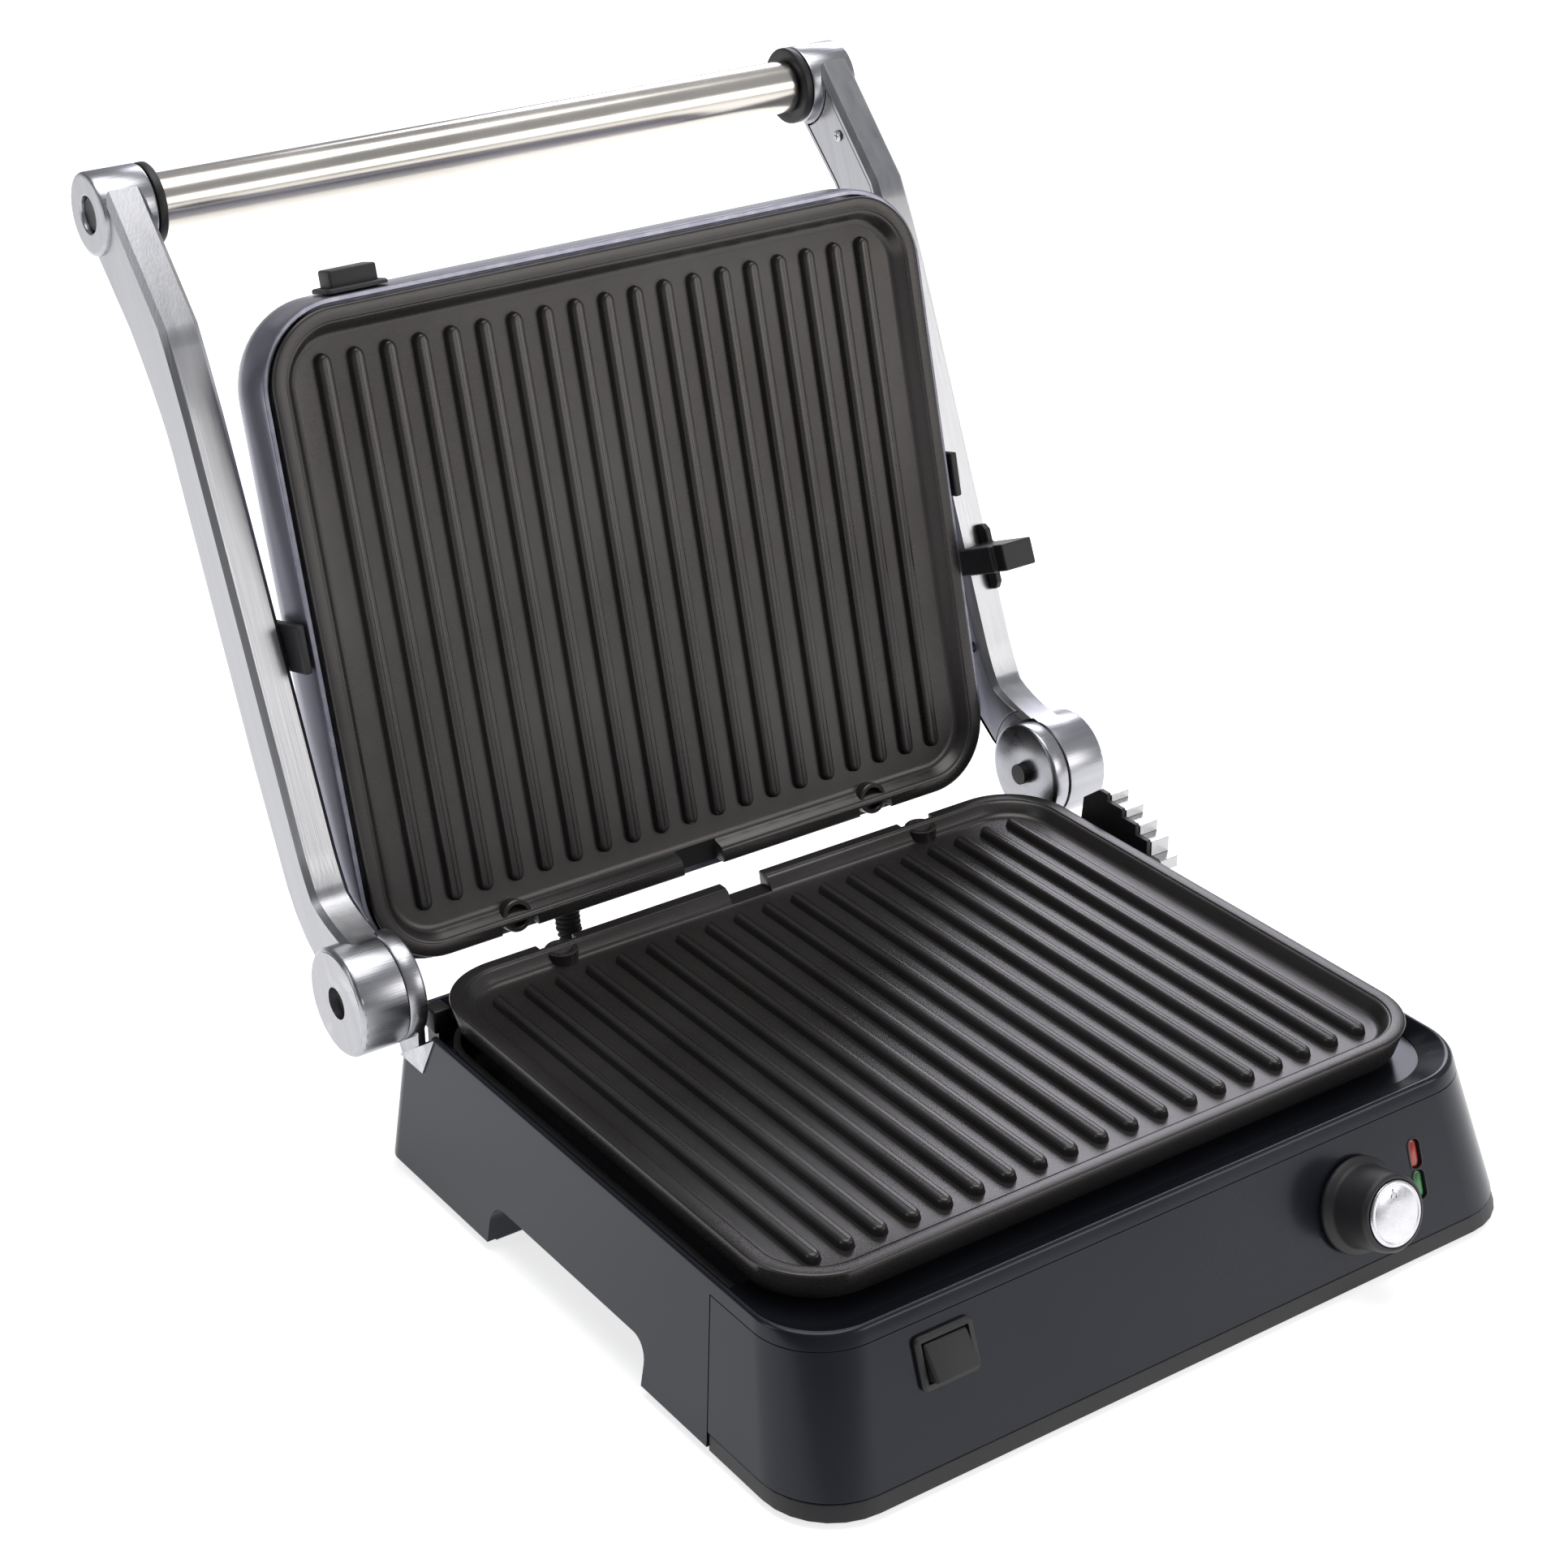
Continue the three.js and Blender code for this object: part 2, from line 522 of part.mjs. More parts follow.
const lowerButtonFrame = panelFrame(lowerButton.x, lowerButton.height);
add(lowerButtonFrame, "lower_release_bezel", makeBezel(lowerButton.half, lowerButton.tall / 2, 2), plastic);
const wedge = acrossX(
  polygon([[-lowerButton.tall / 2, -6], [lowerButton.tall / 2, -6], [lowerButton.tall / 2, 2.2], [-lowerButton.tall / 2, 7.5]]),
  -lowerButton.half, lowerButton.half, 0.8,
);
add(lowerButtonFrame, "lower_release_button", wedge, plastic);
const latchBar = join(box(-5, 5, -3, 3, -8, -6.4), box(-7, 7, -2, 2, -13.6, -8));
add(lowerButtonFrame, "lower_release_latch", latchBar, steel);
add(lowerButtonFrame, "lower_release_spring", coil(3.2, 3, -21, -14.6), steel);

const glandProfile = [[3.6, 0], [9.4, 0], [9.4, 3], [6.6, 4], [5.6, 16], [3.6, 16], [3.6, 0]];
const glandMesh = add(body, "cable_gland", turned(glandProfile, 18), rubber);
glandMesh.position.set(gland.x, base.back + GAP, gland.height);
glandMesh.rotation.x = -Math.PI / 2;

addPair(hinge, "hinge_bracket", makeHingeBracket(), aluminium);
addPair(hinge, "hinge_pin", join(barX(4.9, 161, 190.5, 0, 0, 16), barX(6.6, 189.4, 191.4, 0, 0, 20)), steel);

add(body, "rack_carrier", acrossX(rackShape(1.4, [-37, 80]), 169.6, 172.1), plastic);
add(body, "rack_steps", acrossX(rackShape(0, [-50, 77]), 172.5, 183), steel);

const conduitPath = [[base.back + 0.6, 40], [10, 40], [25, 40.5], [36, 44.5], [40.5, 52], [41.5, 60], [42, 67]];
add(body, "wiring_conduit", tube(conduitPath.map(([y, z]) => [conduit.x, y, z]), conduit.radius, 16, 10), rubber);

// ---- assembly: arms and handle ----
addPair(hinge, "arm", makeArm(), aluminium);
addPair(hinge, "arm_cover", makeArmCover(), aluminium);
const screw = (y, z) => barX(2.6, arm.inner - 1.2, arm.inner - 0.25, y, z, 16);
addPair(hinge, "lower_arm_screw", screw(48, 45), steel);
addPair(hinge, "upper_arm_screw", screw(155, 267), steel);
add(
  hinge, "handle_tube",
  barX(grip.radius, -grip.tubeHalf, grip.tubeHalf, grip.back, grip.up, 32)
    .subtract(barX(10.8, -165, 165, grip.back, grip.up, 24)),
  chrome,
);
addPair(hinge, "handle_collar", makeCollar(), plastic);
addPair(
  hinge, "handle_bolt",
  join(barX(3, 152, 186, grip.back, grip.up, 16), barX(7, 184.6, 187.5, grip.back, grip.up, 20)), steel,
);
const pivotBlock = barX(lidPivot.radius + 9, 166.8, arm.inner - GAP, pivotAt.y, pivotAt.z, 8).subtract(pivotHole());
addPair(hinge, "pivot_block", pivotBlock, plastic);
addPair(hinge, "pivot_pin", barX(lidPivot.radius, 154, 181, pivotAt.y, pivotAt.z, 16), steel);

const sliderFrame = new THREE.Group(); // z up the straight of the arm
sliderFrame.rotation.x = degrees(-arm.straightLean);
hinge.add(sliderFrame);
add(sliderFrame, "height_slider", makeSlider(), plastic);

// ---- assembly: lid ----
add(lidFrame, "upper_shell", makeUpperShell(), paint);
add(lidFrame, "upper_plate", makePlate(upperPlate), nonStick);
add(lidFrame, "upper_frame", makeUpperFrame(), steel);
add(lidFrame, "upper_heating_element", makeElement(-25), steel);
add(lidFrame, "upper_heat_shield", makeHeatShield(146, 14, 262, -29), steel);
const bush = barX(5.8, 155.4, 157.6, lidPivot.along, lidPivot.behind, 20)
  .subtract(barX(lidPivot.radius + 0.4, 150, 170, lidPivot.along, lidPivot.behind, 16));
addPair(lidFrame, "pivot_bush", bush, plastic);

const lidEnd = upperPlate.depth + 3.9; // the end of the lid that is at the front when it is closed
const upperButtonFrame = new THREE.Group(); // y into the lid, z out of its end
upperButtonFrame.position.set(upperButton.x, lidEnd, upperButton.behind);
upperButtonFrame.rotation.x = -Math.PI / 2;
lidFrame.add(upperButtonFrame);
add(upperButtonFrame, "upper_release_bezel", makeBezel(upperButton.half, upperButton.deep / 2, 2.4), plastic);
add(
  upperButtonFrame, "upper_release_button",
  roundedBox(upperButton.half, upperButton.deep / 2, -0.6, 9.5, 1.5), plastic,
);
const upperSpring = add(upperButtonFrame, "upper_release_spring", coil(2.2, 3, -10.8, -1.4), steel);
upperSpring.position.y = 3;

export default press;
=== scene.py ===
# A contact grill, standing open: the looks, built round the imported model. Lengths here are millimetres.
import bmesh
import bpy
import json
import math
from mathutils import Matrix, Vector


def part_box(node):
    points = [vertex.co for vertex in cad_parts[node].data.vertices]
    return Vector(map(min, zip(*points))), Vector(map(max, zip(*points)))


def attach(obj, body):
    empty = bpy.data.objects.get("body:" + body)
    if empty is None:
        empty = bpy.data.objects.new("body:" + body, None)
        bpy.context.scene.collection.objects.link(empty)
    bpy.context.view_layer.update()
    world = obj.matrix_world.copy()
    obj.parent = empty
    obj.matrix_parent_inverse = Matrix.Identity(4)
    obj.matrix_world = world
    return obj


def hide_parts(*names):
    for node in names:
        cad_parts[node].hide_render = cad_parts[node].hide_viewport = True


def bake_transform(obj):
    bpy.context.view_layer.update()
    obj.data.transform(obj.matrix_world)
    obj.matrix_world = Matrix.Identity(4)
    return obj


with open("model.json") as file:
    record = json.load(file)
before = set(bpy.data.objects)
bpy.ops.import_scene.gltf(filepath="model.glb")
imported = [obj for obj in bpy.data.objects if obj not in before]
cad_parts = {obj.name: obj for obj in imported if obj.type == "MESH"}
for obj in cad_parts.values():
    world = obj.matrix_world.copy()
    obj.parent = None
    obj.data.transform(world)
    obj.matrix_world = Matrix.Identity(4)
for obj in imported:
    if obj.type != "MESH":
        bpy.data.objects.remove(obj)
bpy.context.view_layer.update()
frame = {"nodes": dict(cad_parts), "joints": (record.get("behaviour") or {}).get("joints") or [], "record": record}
MM = 0.001
JOINTS = {joint["name"]: joint for joint in frame["joints"]}


def box_mm(node):
    low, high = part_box(node)
    return Vector(low) / MM, Vector(high) / MM


# ---- where things are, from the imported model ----
HINGE = Vector(JOINTS["arm_hinge"]["pos_m"]) / MM
LID_PIVOT = Vector(JOINTS["lid_tilt"]["pos_m"]) / MM
KNOB = Vector(JOINTS["knob_turn"]["pos_m"]) / MM
LID_UP = -Vector(JOINTS["upper_release_push"]["axis"])
ARM_UP = -Vector(JOINTS["height_slide"]["axis"])
PANEL_OUT = -Vector(JOINTS["lower_release_push"]["axis"])
LID_LEAN = math.atan2(LID_UP.y, LID_UP.z)
PANEL_LEAN = math.atan2(PANEL_OUT.z, -PANEL_OUT.y)
LID_OUT = Vector((0, -LID_UP.z, LID_UP.y))
PIVOT_ALONG, PIVOT_BEHIND = 144.4, 30  # the lid's pivot, from the hinge edge of the upper plate
LID_EDGE = LID_PIVOT - PIVOT_ALONG * LID_UP + PIVOT_BEHIND * LID_OUT
LID_FRAME = Matrix.Translation(LID_EDGE * MM) @ Matrix.Rotation(math.pi / 2 - LID_LEAN, 4, "X")
LID_DEPTH = 277  # of the upper plate, from its hinge edge to its far edge
LID_HALF = box_mm("upper_plate")[1].x
PLATE_LOW, PLATE_HIGH = box_mm("lower_plate")
LOWER_FRAME = Matrix.Translation(Vector((0, PLATE_HIGH.y, PLATE_HIGH.z)) * MM) @ Matrix.Rotation(math.pi, 4, "Z")
COVER_LOW, COVER_HIGH = box_mm("base_cover")
BASE_TOP = COVER_HIGH.z
BASE_BACK = COVER_HIGH.y
TUBE_LOW, TUBE_HIGH = box_mm("handle_tube")
GRIP = (TUBE_LOW + TUBE_HIGH) / 2
PIN_LOW, PIN_HIGH = box_mm("hinge_pin_right")
DRUM = (PIN_LOW + PIN_HIGH) / 2
DRUM.x = 0


def panel_frame(x, z):
    y = KNOB.y + (z - KNOB.z) * math.tan(PANEL_LEAN)
    return Matrix.Translation(Vector((x, y, z)) * MM) @ Matrix.Rotation(math.pi / 2 - PANEL_LEAN, 4, "X")


# ---- camera ----
def make_camera():
    data = bpy.data.cameras.new("camera")
    data.sensor_width = 36
    data.lens = 72.155
    data.clip_end = 50
    camera = bpy.data.objects.new("camera", data)
    bpy.context.scene.collection.objects.link(camera)
    place = Matrix.Translation(Vector((-674.0, HINGE.y - 1013.9, 735.2)) * MM)
    turn = Matrix.Rotation(math.radians(-34.711), 4, "Z") @ Matrix.Rotation(math.radians(90 - 26.758), 4, "X")
    camera.matrix_world = place @ turn @ Matrix.Rotation(math.radians(-0.533), 4, "Z")
    bpy.context.scene.camera = camera


make_camera()


# ---- modelling by hand ----
def take(piece):
    if bpy.context.mode != "OBJECT":
        bpy.ops.object.mode_set(mode="OBJECT")
    bpy.ops.object.select_all(action="DESELECT")
    piece.select_set(True)
    bpy.context.view_layer.objects.active = piece


def put_down():
    if bpy.context.mode != "OBJECT":
        bpy.ops.object.mode_set(mode="OBJECT")
    bpy.ops.object.select_all(action="DESELECT")


def named(name):
    piece = bpy.context.active_object
    piece.name = name
    piece.data.name = name
    bpy.ops.object.transform_apply(location=True, rotation=True, scale=True)
    return piece


def cube(name, x0, x1, y0, y1, z0, z1):
    put_down()
    centre = Vector(((x0 + x1) / 2, (y0 + y1) / 2, (z0 + z1) / 2)) * MM
    bpy.ops.mesh.primitive_cube_add(size=1, location=centre)
    bpy.context.active_object.scale = Vector((x1 - x0, y1 - y0, z1 - z0)) * MM
    return named(name)


def select(piece, kind, test):
    """Selects, in edit mode, the vertices, edges or faces that pass the test on their middle and direction."""
    bpy.ops.mesh.select_mode(type=kind)
    bpy.ops.mesh.select_all(action="DESELECT")
    mesh = bmesh.from_edit_mesh(piece.data)
    if kind == "FACE":
        for face in mesh.faces:
            face.select_set(test(face.calc_center_median() / MM, face.normal))
    elif kind == "EDGE":
        for edge in mesh.edges:
            start, end = (vert.co / MM for vert in edge.verts)
            edge.select_set(test((start + end) / 2, (end - start).normalized()))
    else:
        for vert in mesh.verts:
            vert.select_set(test(vert.co / MM, vert.normal))
    bmesh.update_edit_mesh(piece.data)


def edit(piece):
    take(piece)
    bpy.ops.object.mode_set(mode="EDIT")


def bevel_edges(piece, width, segments, test, profile=0.5):
    edit(piece)
    select(piece, "EDGE", test)
    bpy.ops.mesh.bevel(offset=width * MM, segments=segments, profile=profile, clamp_overlap=False)
    put_down()


def resize_to(centre, value):
    bpy.ops.transform.resize(value=value, center_override=centre * MM)


def slide(x, y, z):
    bpy.ops.transform.translate(value=Vector((x, y, z)) * MM)


def rings(name, levels, corner_edges):
    """A round-cornered body through level outlines (z, half, front, back): a block whose top is extruded on and on."""
    (z0, half0, front0, back0), (z1, half1, front1, back1) = levels[:2]
    piece = cube(name, -half0, half0, front0, back0, z0, z1)
    edit(piece)
    for test, radius, segments in corner_edges:
        select(piece, "EDGE", lambda place, way, test=test: abs(way.z) > 0.9 and test(place))
        bpy.ops.mesh.bevel(offset=radius * MM, segments=segments, clamp_overlap=False)
    select(piece, "FACE", lambda place, normal: normal.z > 0.9 and place.z > z1 - 0.01)
    centre = Vector((0, (front0 + back0) / 2, z1))
    resize_to(centre, (half1 / half0, (back1 - front1) / (back0 - front0), 1))
    slide(0, (front1 + back1 - front0 - back0) / 2, 0)
    for before, after in zip(levels[1:], levels[2:]):
        bpy.ops.mesh.extrude_region_move()
        centre = Vector((0, (before[2] + before[3]) / 2, before[0]))
        resize_to(centre, (after[1] / before[1], (after[3] - after[2]) / (before[3] - before[2]), 1))
        slide(0, (after[2] + after[3] - before[2] - before[3]) / 2, after[0] - before[0])
    put_down()
    return piece


def turned(name, profile, sides=64):
    """A turned piece round Z: a disc that is extruded and resized along [radius, height] pairs."""
    put_down()
    radius, height = profile[0]
    bpy.ops.mesh.primitive_circle_add(
        vertices=sides, radius=radius * MM, fill_type="NGON", location=(0, 0, height * MM),
    )
    piece = named(name)
    edit(piece)
    bpy.ops.mesh.select_all(action="SELECT")
    for (r0, z0), (r1, z1) in zip(profile, profile[1:]):
        bpy.ops.mesh.extrude_region_move()
        resize_to(Vector((0, 0, z0)), (r1 / r0, r1 / r0, 1))
        slide(0, 0, z1 - z0)
    bpy.ops.mesh.select_all(action="SELECT")
    bpy.ops.mesh.normals_make_consistent(inside=False)
    put_down()
    return piece


def carve(piece, *tools, operation="DIFFERENCE"):
    for tool in tools:
        take(piece)
        step = piece.modifiers.new("carve", "BOOLEAN")
        step.operation = operation
        step.solver = "EXACT"
        step.object = tool
        bpy.ops.object.modifier_apply(modifier=step.name)
        bpy.data.objects.remove(tool)
    return piece


def soften(piece, width, segments=2, angle=40):
    take(piece)
    step = piece.modifiers.new("soften", "BEVEL")
    step.width = width * MM
    step.segments = segments
    step.limit_method = "ANGLE"
    step.angle_limit = math.radians(angle)
    bpy.ops.object.modifier_apply(modifier=step.name)
    return piece


def move_by(piece, matrix):
    take(piece)
    piece.matrix_world = matrix
    bpy.ops.object.transform_apply(location=True, rotation=True, scale=True)
    return piece


def copied(piece, name, matrix=None):
    other = piece.copy()
    other.data = piece.data.copy()
    other.name = name
    other.data.name = name
    bpy.context.scene.collection.objects.link(other)
    if matrix is not None:
        move_by(other, matrix)
    return other


def mirrored(piece, name):
    other = copied(piece, name, Matrix.Scale(-1, 4, (1, 0, 0)))
    edit(other)
    bpy.ops.mesh.select_all(action="SELECT")
    bpy.ops.mesh.normals_make_consistent(inside=False)
    put_down()
    return other


def joined(name, *pieces):
    put_down()
    for piece in pieces:
        piece.select_set(True)
    bpy.context.view_layer.objects.active = pieces[0]
    bpy.ops.object.join()
    whole = bpy.context.active_object
    whole.name = name
    whole.data.name = name
    return whole


def finish_piece(piece, body, material, replaces=(), angle=35):
    """Shades a piece, gives it its finish and fixes it to a body."""
    take(piece)
    bpy.ops.object.shade_smooth_by_angle(angle=math.radians(angle))
    piece.data.materials.clear()
    piece.data.materials.append(material)
    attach(piece, body)
    if replaces:
        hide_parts(*replaces)
    return piece


# ---- effects that several finishes share ----
def new_node(tree, kind, inputs=None, **settings):
    made = tree.nodes.new(kind)
    for key, value in settings.items():
        setattr(made, key, value)
    for socket, value in (inputs or {}).items():
        if isinstance(value, bpy.types.NodeSocket):
            tree.links.new(value, made.inputs[socket])
        else:
            made.inputs[socket].default_value = value
    return made


def new_effect(name, inputs, outputs):
    tree = bpy.data.node_groups.new(name, "ShaderNodeTree")
    for label, kind, value in inputs:
        socket = tree.interface.new_socket(label, in_out="INPUT", socket_type=kind)
        if value is not None:
            socket.default_value = value
    for label, kind in outputs:
        tree.interface.new_socket(label, in_out="OUTPUT", socket_type=kind)
    return tree, tree.nodes.new("NodeGroupInput").outputs, tree.nodes.new("NodeGroupOutput").inputs


def effect_mottling():
    """Slow cloudy change over a surface, and the fine speckle in it."""
    tree, given, out = new_effect(
        "mottling",
        [("Place", "NodeSocketVector", None), ("Size", "NodeSocketFloat", 12.0), ("Speckle Size", "NodeSocketFloat", 900.0)],
        [("Clouds", "NodeSocketFloat"), ("Speckle", "NodeSocketFloat")],
    )
    slow = new_node(tree, "ShaderNodeTexNoise", {"Vector": given["Place"], "Scale": given["Size"], "Detail": 4.0})
    fine = new_node(tree, "ShaderNodeTexNoise", {"Vector": given["Place"], "Scale": given["Speckle Size"], "Detail": 2.0})
    spread = new_node(tree, "ShaderNodeMapRange", {"Value": slow.outputs["Fac"], "From Min": 0.3, "From Max": 0.7})
    tree.links.new(spread.outputs["Result"], out["Clouds"])
    tree.links.new(fine.outputs["Fac"], out["Speckle"])
    return tree


def effect_brushing():
    """Streaks left by a brush or a belt, along the Y of the vector it is given."""
    tree, given, out = new_effect(
        "brushing",
        [("Place", "NodeSocketVector", None), ("Fineness", "NodeSocketFloat", 900.0), ("Length", "NodeSocketFloat", 60.0)],
        [("Streaks", "NodeSocketFloat"), ("Broad Streaks", "NodeSocketFloat")],
    )
    short = new_node(tree, "ShaderNodeMath", {0: 1.0, 1: given["Length"]}, operation="DIVIDE")
    squeeze = new_node(tree, "ShaderNodeCombineXYZ", {"X": 1.0, "Y": short.outputs[0], "Z": 1.0})
    along = new_node(
        tree, "ShaderNodeVectorMath", {0: given["Place"], 1: squeeze.outputs[0]}, operation="MULTIPLY",
    )
    broad_size = new_node(tree, "ShaderNodeMath", {0: given["Fineness"], 1: 0.14}, operation="MULTIPLY")
    fine = new_node(
        tree, "ShaderNodeTexNoise", {"Vector": along.outputs[0], "Scale": given["Fineness"], "Detail": 3.0},
    )
    broad = new_node(
        tree, "ShaderNodeTexNoise", {"Vector": along.outputs[0], "Scale": broad_size.outputs[0], "Detail": 2.0},
    )
    tree.links.new(fine.outputs["Fac"], out["Streaks"])
    tree.links.new(broad.outputs["Fac"], out["Broad Streaks"])
    return tree


def effect_edge_wear():
    """Where handling has rubbed the outer edges: broken up along them, and none on flat ground."""
    tree, given, out = new_effect(
        "edge wear",
        [("Place", "NodeSocketVector", None), ("Reach", "NodeSocketFloat", 0.56), ("Amount", "NodeSocketFloat", 0.5)],
        [("Wear", "NodeSocketFloat")],
    )
    shape = tree.nodes.new("ShaderNodeNewGeometry")
    edges = new_node(
        tree, "ShaderNodeMapRange",
        {"Value": shape.outputs["Pointiness"], "From Min": given["Reach"], "From Max": 0.7},
    )
    patches = new_node(tree, "ShaderNodeTexNoise", {"Vector": given["Place"], "Scale": 140.0, "Detail": 4.0})
    broken = new_node(tree, "ShaderNodeMapRange", {"Value": patches.outputs["Fac"], "From Min": 0.4, "From Max": 0.65})
    both = new_node(tree, "ShaderNodeMath", {0: edges.outputs[0], 1: broken.outputs[0]}, operation="MULTIPLY")
    scaled = new_node(tree, "ShaderNodeMath", {0: both.outputs[0], 1: given["Amount"]}, operation="MULTIPLY")
    tree.links.new(scaled.outputs[0], out["Wear"])
    return tree


def effect_dust():
    """A thin veil of dust on what faces up."""
    tree, given, out = new_effect(
        "dust",
        [("Place", "NodeSocketVector", None), ("Amount", "NodeSocketFloat", 0.1)],
        [("Dust", "NodeSocketFloat")],
    )
    shape = tree.nodes.new("ShaderNodeNewGeometry")
    axes = new_node(tree, "ShaderNodeSeparateXYZ", {"Vector": shape.outputs["Normal"]})
    upward = new_node(tree, "ShaderNodeMapRange", {"Value": axes.outputs["Z"], "From Min": 0.5, "From Max": 1.0})
    drift = new_node(tree, "ShaderNodeTexNoise", {"Vector": given["Place"], "Scale": 60.0, "Detail": 5.0})
    both = new_node(tree, "ShaderNodeMath", {0: upward.outputs[0], 1: drift.outputs["Fac"]}, operation="MULTIPLY")
    scaled = new_node(tree, "ShaderNodeMath", {0: both.outputs[0], 1: given["Amount"]}, operation="MULTIPLY")
    tree.links.new(scaled.outputs[0], out["Dust"])
    return tree


MOTTLING = effect_mottling()
BRUSHING = effect_brushing()
EDGE_WEAR = effect_edge_wear()
DUST = effect_dust()


def use(tree, effect, **inputs):
    made = tree.nodes.new("ShaderNodeGroup")
    made.node_tree = effect
    for label, value in inputs.items():
        socket = made.inputs[label.replace("_", " ")]
        if isinstance(value, bpy.types.NodeSocket):
            tree.links.new(value, socket)
        else:
            socket.default_value = value
    return made.outputs


def mixed(tree, share, first, second):
    """Colour between first and second."""
    made = tree.nodes.new("ShaderNodeMix")
    made.data_type = "RGBA"
    for socket, value in ((made.inputs[0], share), (made.inputs[6], first), (made.inputs[7], second)):
        if isinstance(value, bpy.types.NodeSocket):
            tree.links.new(value, socket)
        else:
            socket.default_value = value
    return made.outputs[2]


def grey(value, blue=1.0, red=1.0):
    return (value * red, value, value * blue, 1)


def surface(
    name, dark, light, metallic, smoothest, roughest, worn=None, wear=0.4, dust=0.05, mottle=12.0, speckle=900.0,
    grain=0.02, brushed=None, coat=0.0, speculars=0.5, colour_by="clouds",
):
    """A finish. brushed is None or (turn, fineness, length), the streaks running along the turned Y."""
    material = bpy.data.materials.new(name)
    material.use_nodes = True
    tree = material.node_tree
    shader = tree.nodes["Principled BSDF"]
    place = tree.nodes.new("ShaderNodeTexCoord").outputs["Object"]
    mottling = use(tree, MOTTLING, Place=place, Size=mottle, Speckle_Size=speckle)
    change = mottling["Clouds"]
    fine = mottling["Speckle"]
    if brushed:
        turn, fineness, length = brushed
        turned_place = new_node(tree, "ShaderNodeMapping", {"Vector": place, "Rotation": turn}).outputs[0]
        streaks = use(tree, BRUSHING, Place=turned_place, Fineness=fineness, Length=length)
        fine = streaks["Streaks"]
        if colour_by == "streaks":
            change = streaks["Broad Streaks"]
    colour = mixed(tree, change, dark, light)
    if worn:
        rubbed = use(tree, EDGE_WEAR, Place=place, Amount=wear)["Wear"]
        colour = mixed(tree, rubbed, colour, worn)
    if dust:
        colour = mixed(tree, use(tree, DUST, Place=place, Amount=dust)["Dust"], colour, grey(0.5))
    tree.links.new(colour, shader.inputs["Base Color"])
    both = new_node(tree, "ShaderNodeMath", {0: change, 1: fine}, operation="ADD").outputs[0]
    rough = new_node(
        tree, "ShaderNodeMapRange",
        {"Value": both, "From Min": 0.5, "From Max": 1.5, "To Min": smoothest, "To Max": roughest},
    )
    tree.links.new(rough.outputs[0], shader.inputs["Roughness"])
    height = new_node(tree, "ShaderNodeBump", {"Height": fine, "Strength": grain, "Distance": 0.001})
    tree.links.new(height.outputs[0], shader.inputs["Normal"])
    shader.inputs["Metallic"].default_value = metallic
    shader.inputs["Coat Weight"].default_value = coat
    shader.inputs["Coat Roughness"].default_value = 0.12
    shader.inputs["Specular IOR Level"].default_value = speculars
    return material


ARM_TURN = (math.atan2(ARM_UP.y, ARM_UP.z) - math.pi / 2, 0, 0)
ACROSS_TURN = (0, 0, math.pi / 2)
slate_paint = surface(
    "slate satin paint", (0.0125, 0.0135, 0.02, 1), (0.0175, 0.019, 0.027, 1), 0.35, 0.2, 0.28,
    worn=(0.12, 0.125, 0.15, 1), speckle=2600, grain=0.04, coat=0.12, speculars=0.3, dust=0.02,
)
lid_paint = surface(
    "lid satin paint", (0.2, 0.2, 0.25, 1), (0.25, 0.25, 0.31, 1), 0.85, 0.26, 0.36,
    worn=(0.4, 0.4, 0.45, 1), speckle=2600, grain=0.04, coat=0.1, dust=0.02,
)
non_stick = surface(
    "non-stick coating", (0.05, 0.046, 0.044, 1), (0.072, 0.068, 0.066, 1), 0.65, 0.24, 0.34,
    worn=(0.2, 0.19, 0.185, 1), wear=0.25, speckle=2200, grain=0.08, speculars=0.5, dust=0.01,
)
brushed_aluminium = surface(
    "brushed aluminium", (0.33, 0.335, 0.36, 1), (0.5, 0.495, 0.5, 1), 1.0, 0.26, 0.38,
    worn=(0.85, 0.85, 0.86, 1), brushed=(ARM_TURN, 1500, 90), grain=0.06, colour_by="streaks",
)
turned_aluminium = surface(
    "turned aluminium", (0.34, 0.345, 0.37, 1), (0.52, 0.52, 0.54, 1), 1.0, 0.24, 0.34,
    worn=(0.85, 0.85, 0.86, 1), brushed=(ACROSS_TURN, 1400, 60), grain=0.06, colour_by="streaks",
)
polished_handle = surface(
    "polished handle", (0.66, 0.62, 0.56, 1), (0.76, 0.72, 0.66, 1), 1.0, 0.17, 0.25,
    brushed=(ACROSS_TURN, 900, 40), grain=0.01, dust=0.02,
)
bright_steel = surface(
    "bright steel", (0.4, 0.4, 0.41, 1), (0.56, 0.56, 0.57, 1), 1.0, 0.18, 0.3, worn=(0.85, 0.85, 0.86, 1),
    speckle=1400, grain=0.03,
)
mill_aluminium = surface(
    "mill aluminium", (0.5, 0.5, 0.51, 1), (0.66, 0.66, 0.67, 1), 1.0, 0.3, 0.45, speckle=1500, grain=0.08,
)
heater_steel = surface(
    "heated steel", (0.22, 0.17, 0.13, 1), (0.42, 0.38, 0.34, 1), 1.0, 0.35, 0.55, mottle=40, speckle=1200, grain=0.1,
)
black_plastic = surface(
    "black moulded plastic", grey(0.008, 1.1), grey(0.016, 1.1), 0.0, 0.36, 0.5, worn=grey(0.06), wear=0.3,
    speckle=3200, grain=0.15, speculars=0.45,
)
trim_plastic = surface(
    "dark trim plastic", grey(0.009, 1.15), grey(0.014, 1.15), 0.0, 0.4, 0.52, worn=grey(0.08), wear=0.3,
    speckle=3000, grain=0.2,
)
button_plastic = surface(
    "grey button plastic", grey(0.009, 1.1), grey(0.014, 1.1), 0.0, 0.42, 0.55, worn=grey(0.12), wear=0.4,
    speckle=3000, grain=0.2,
)
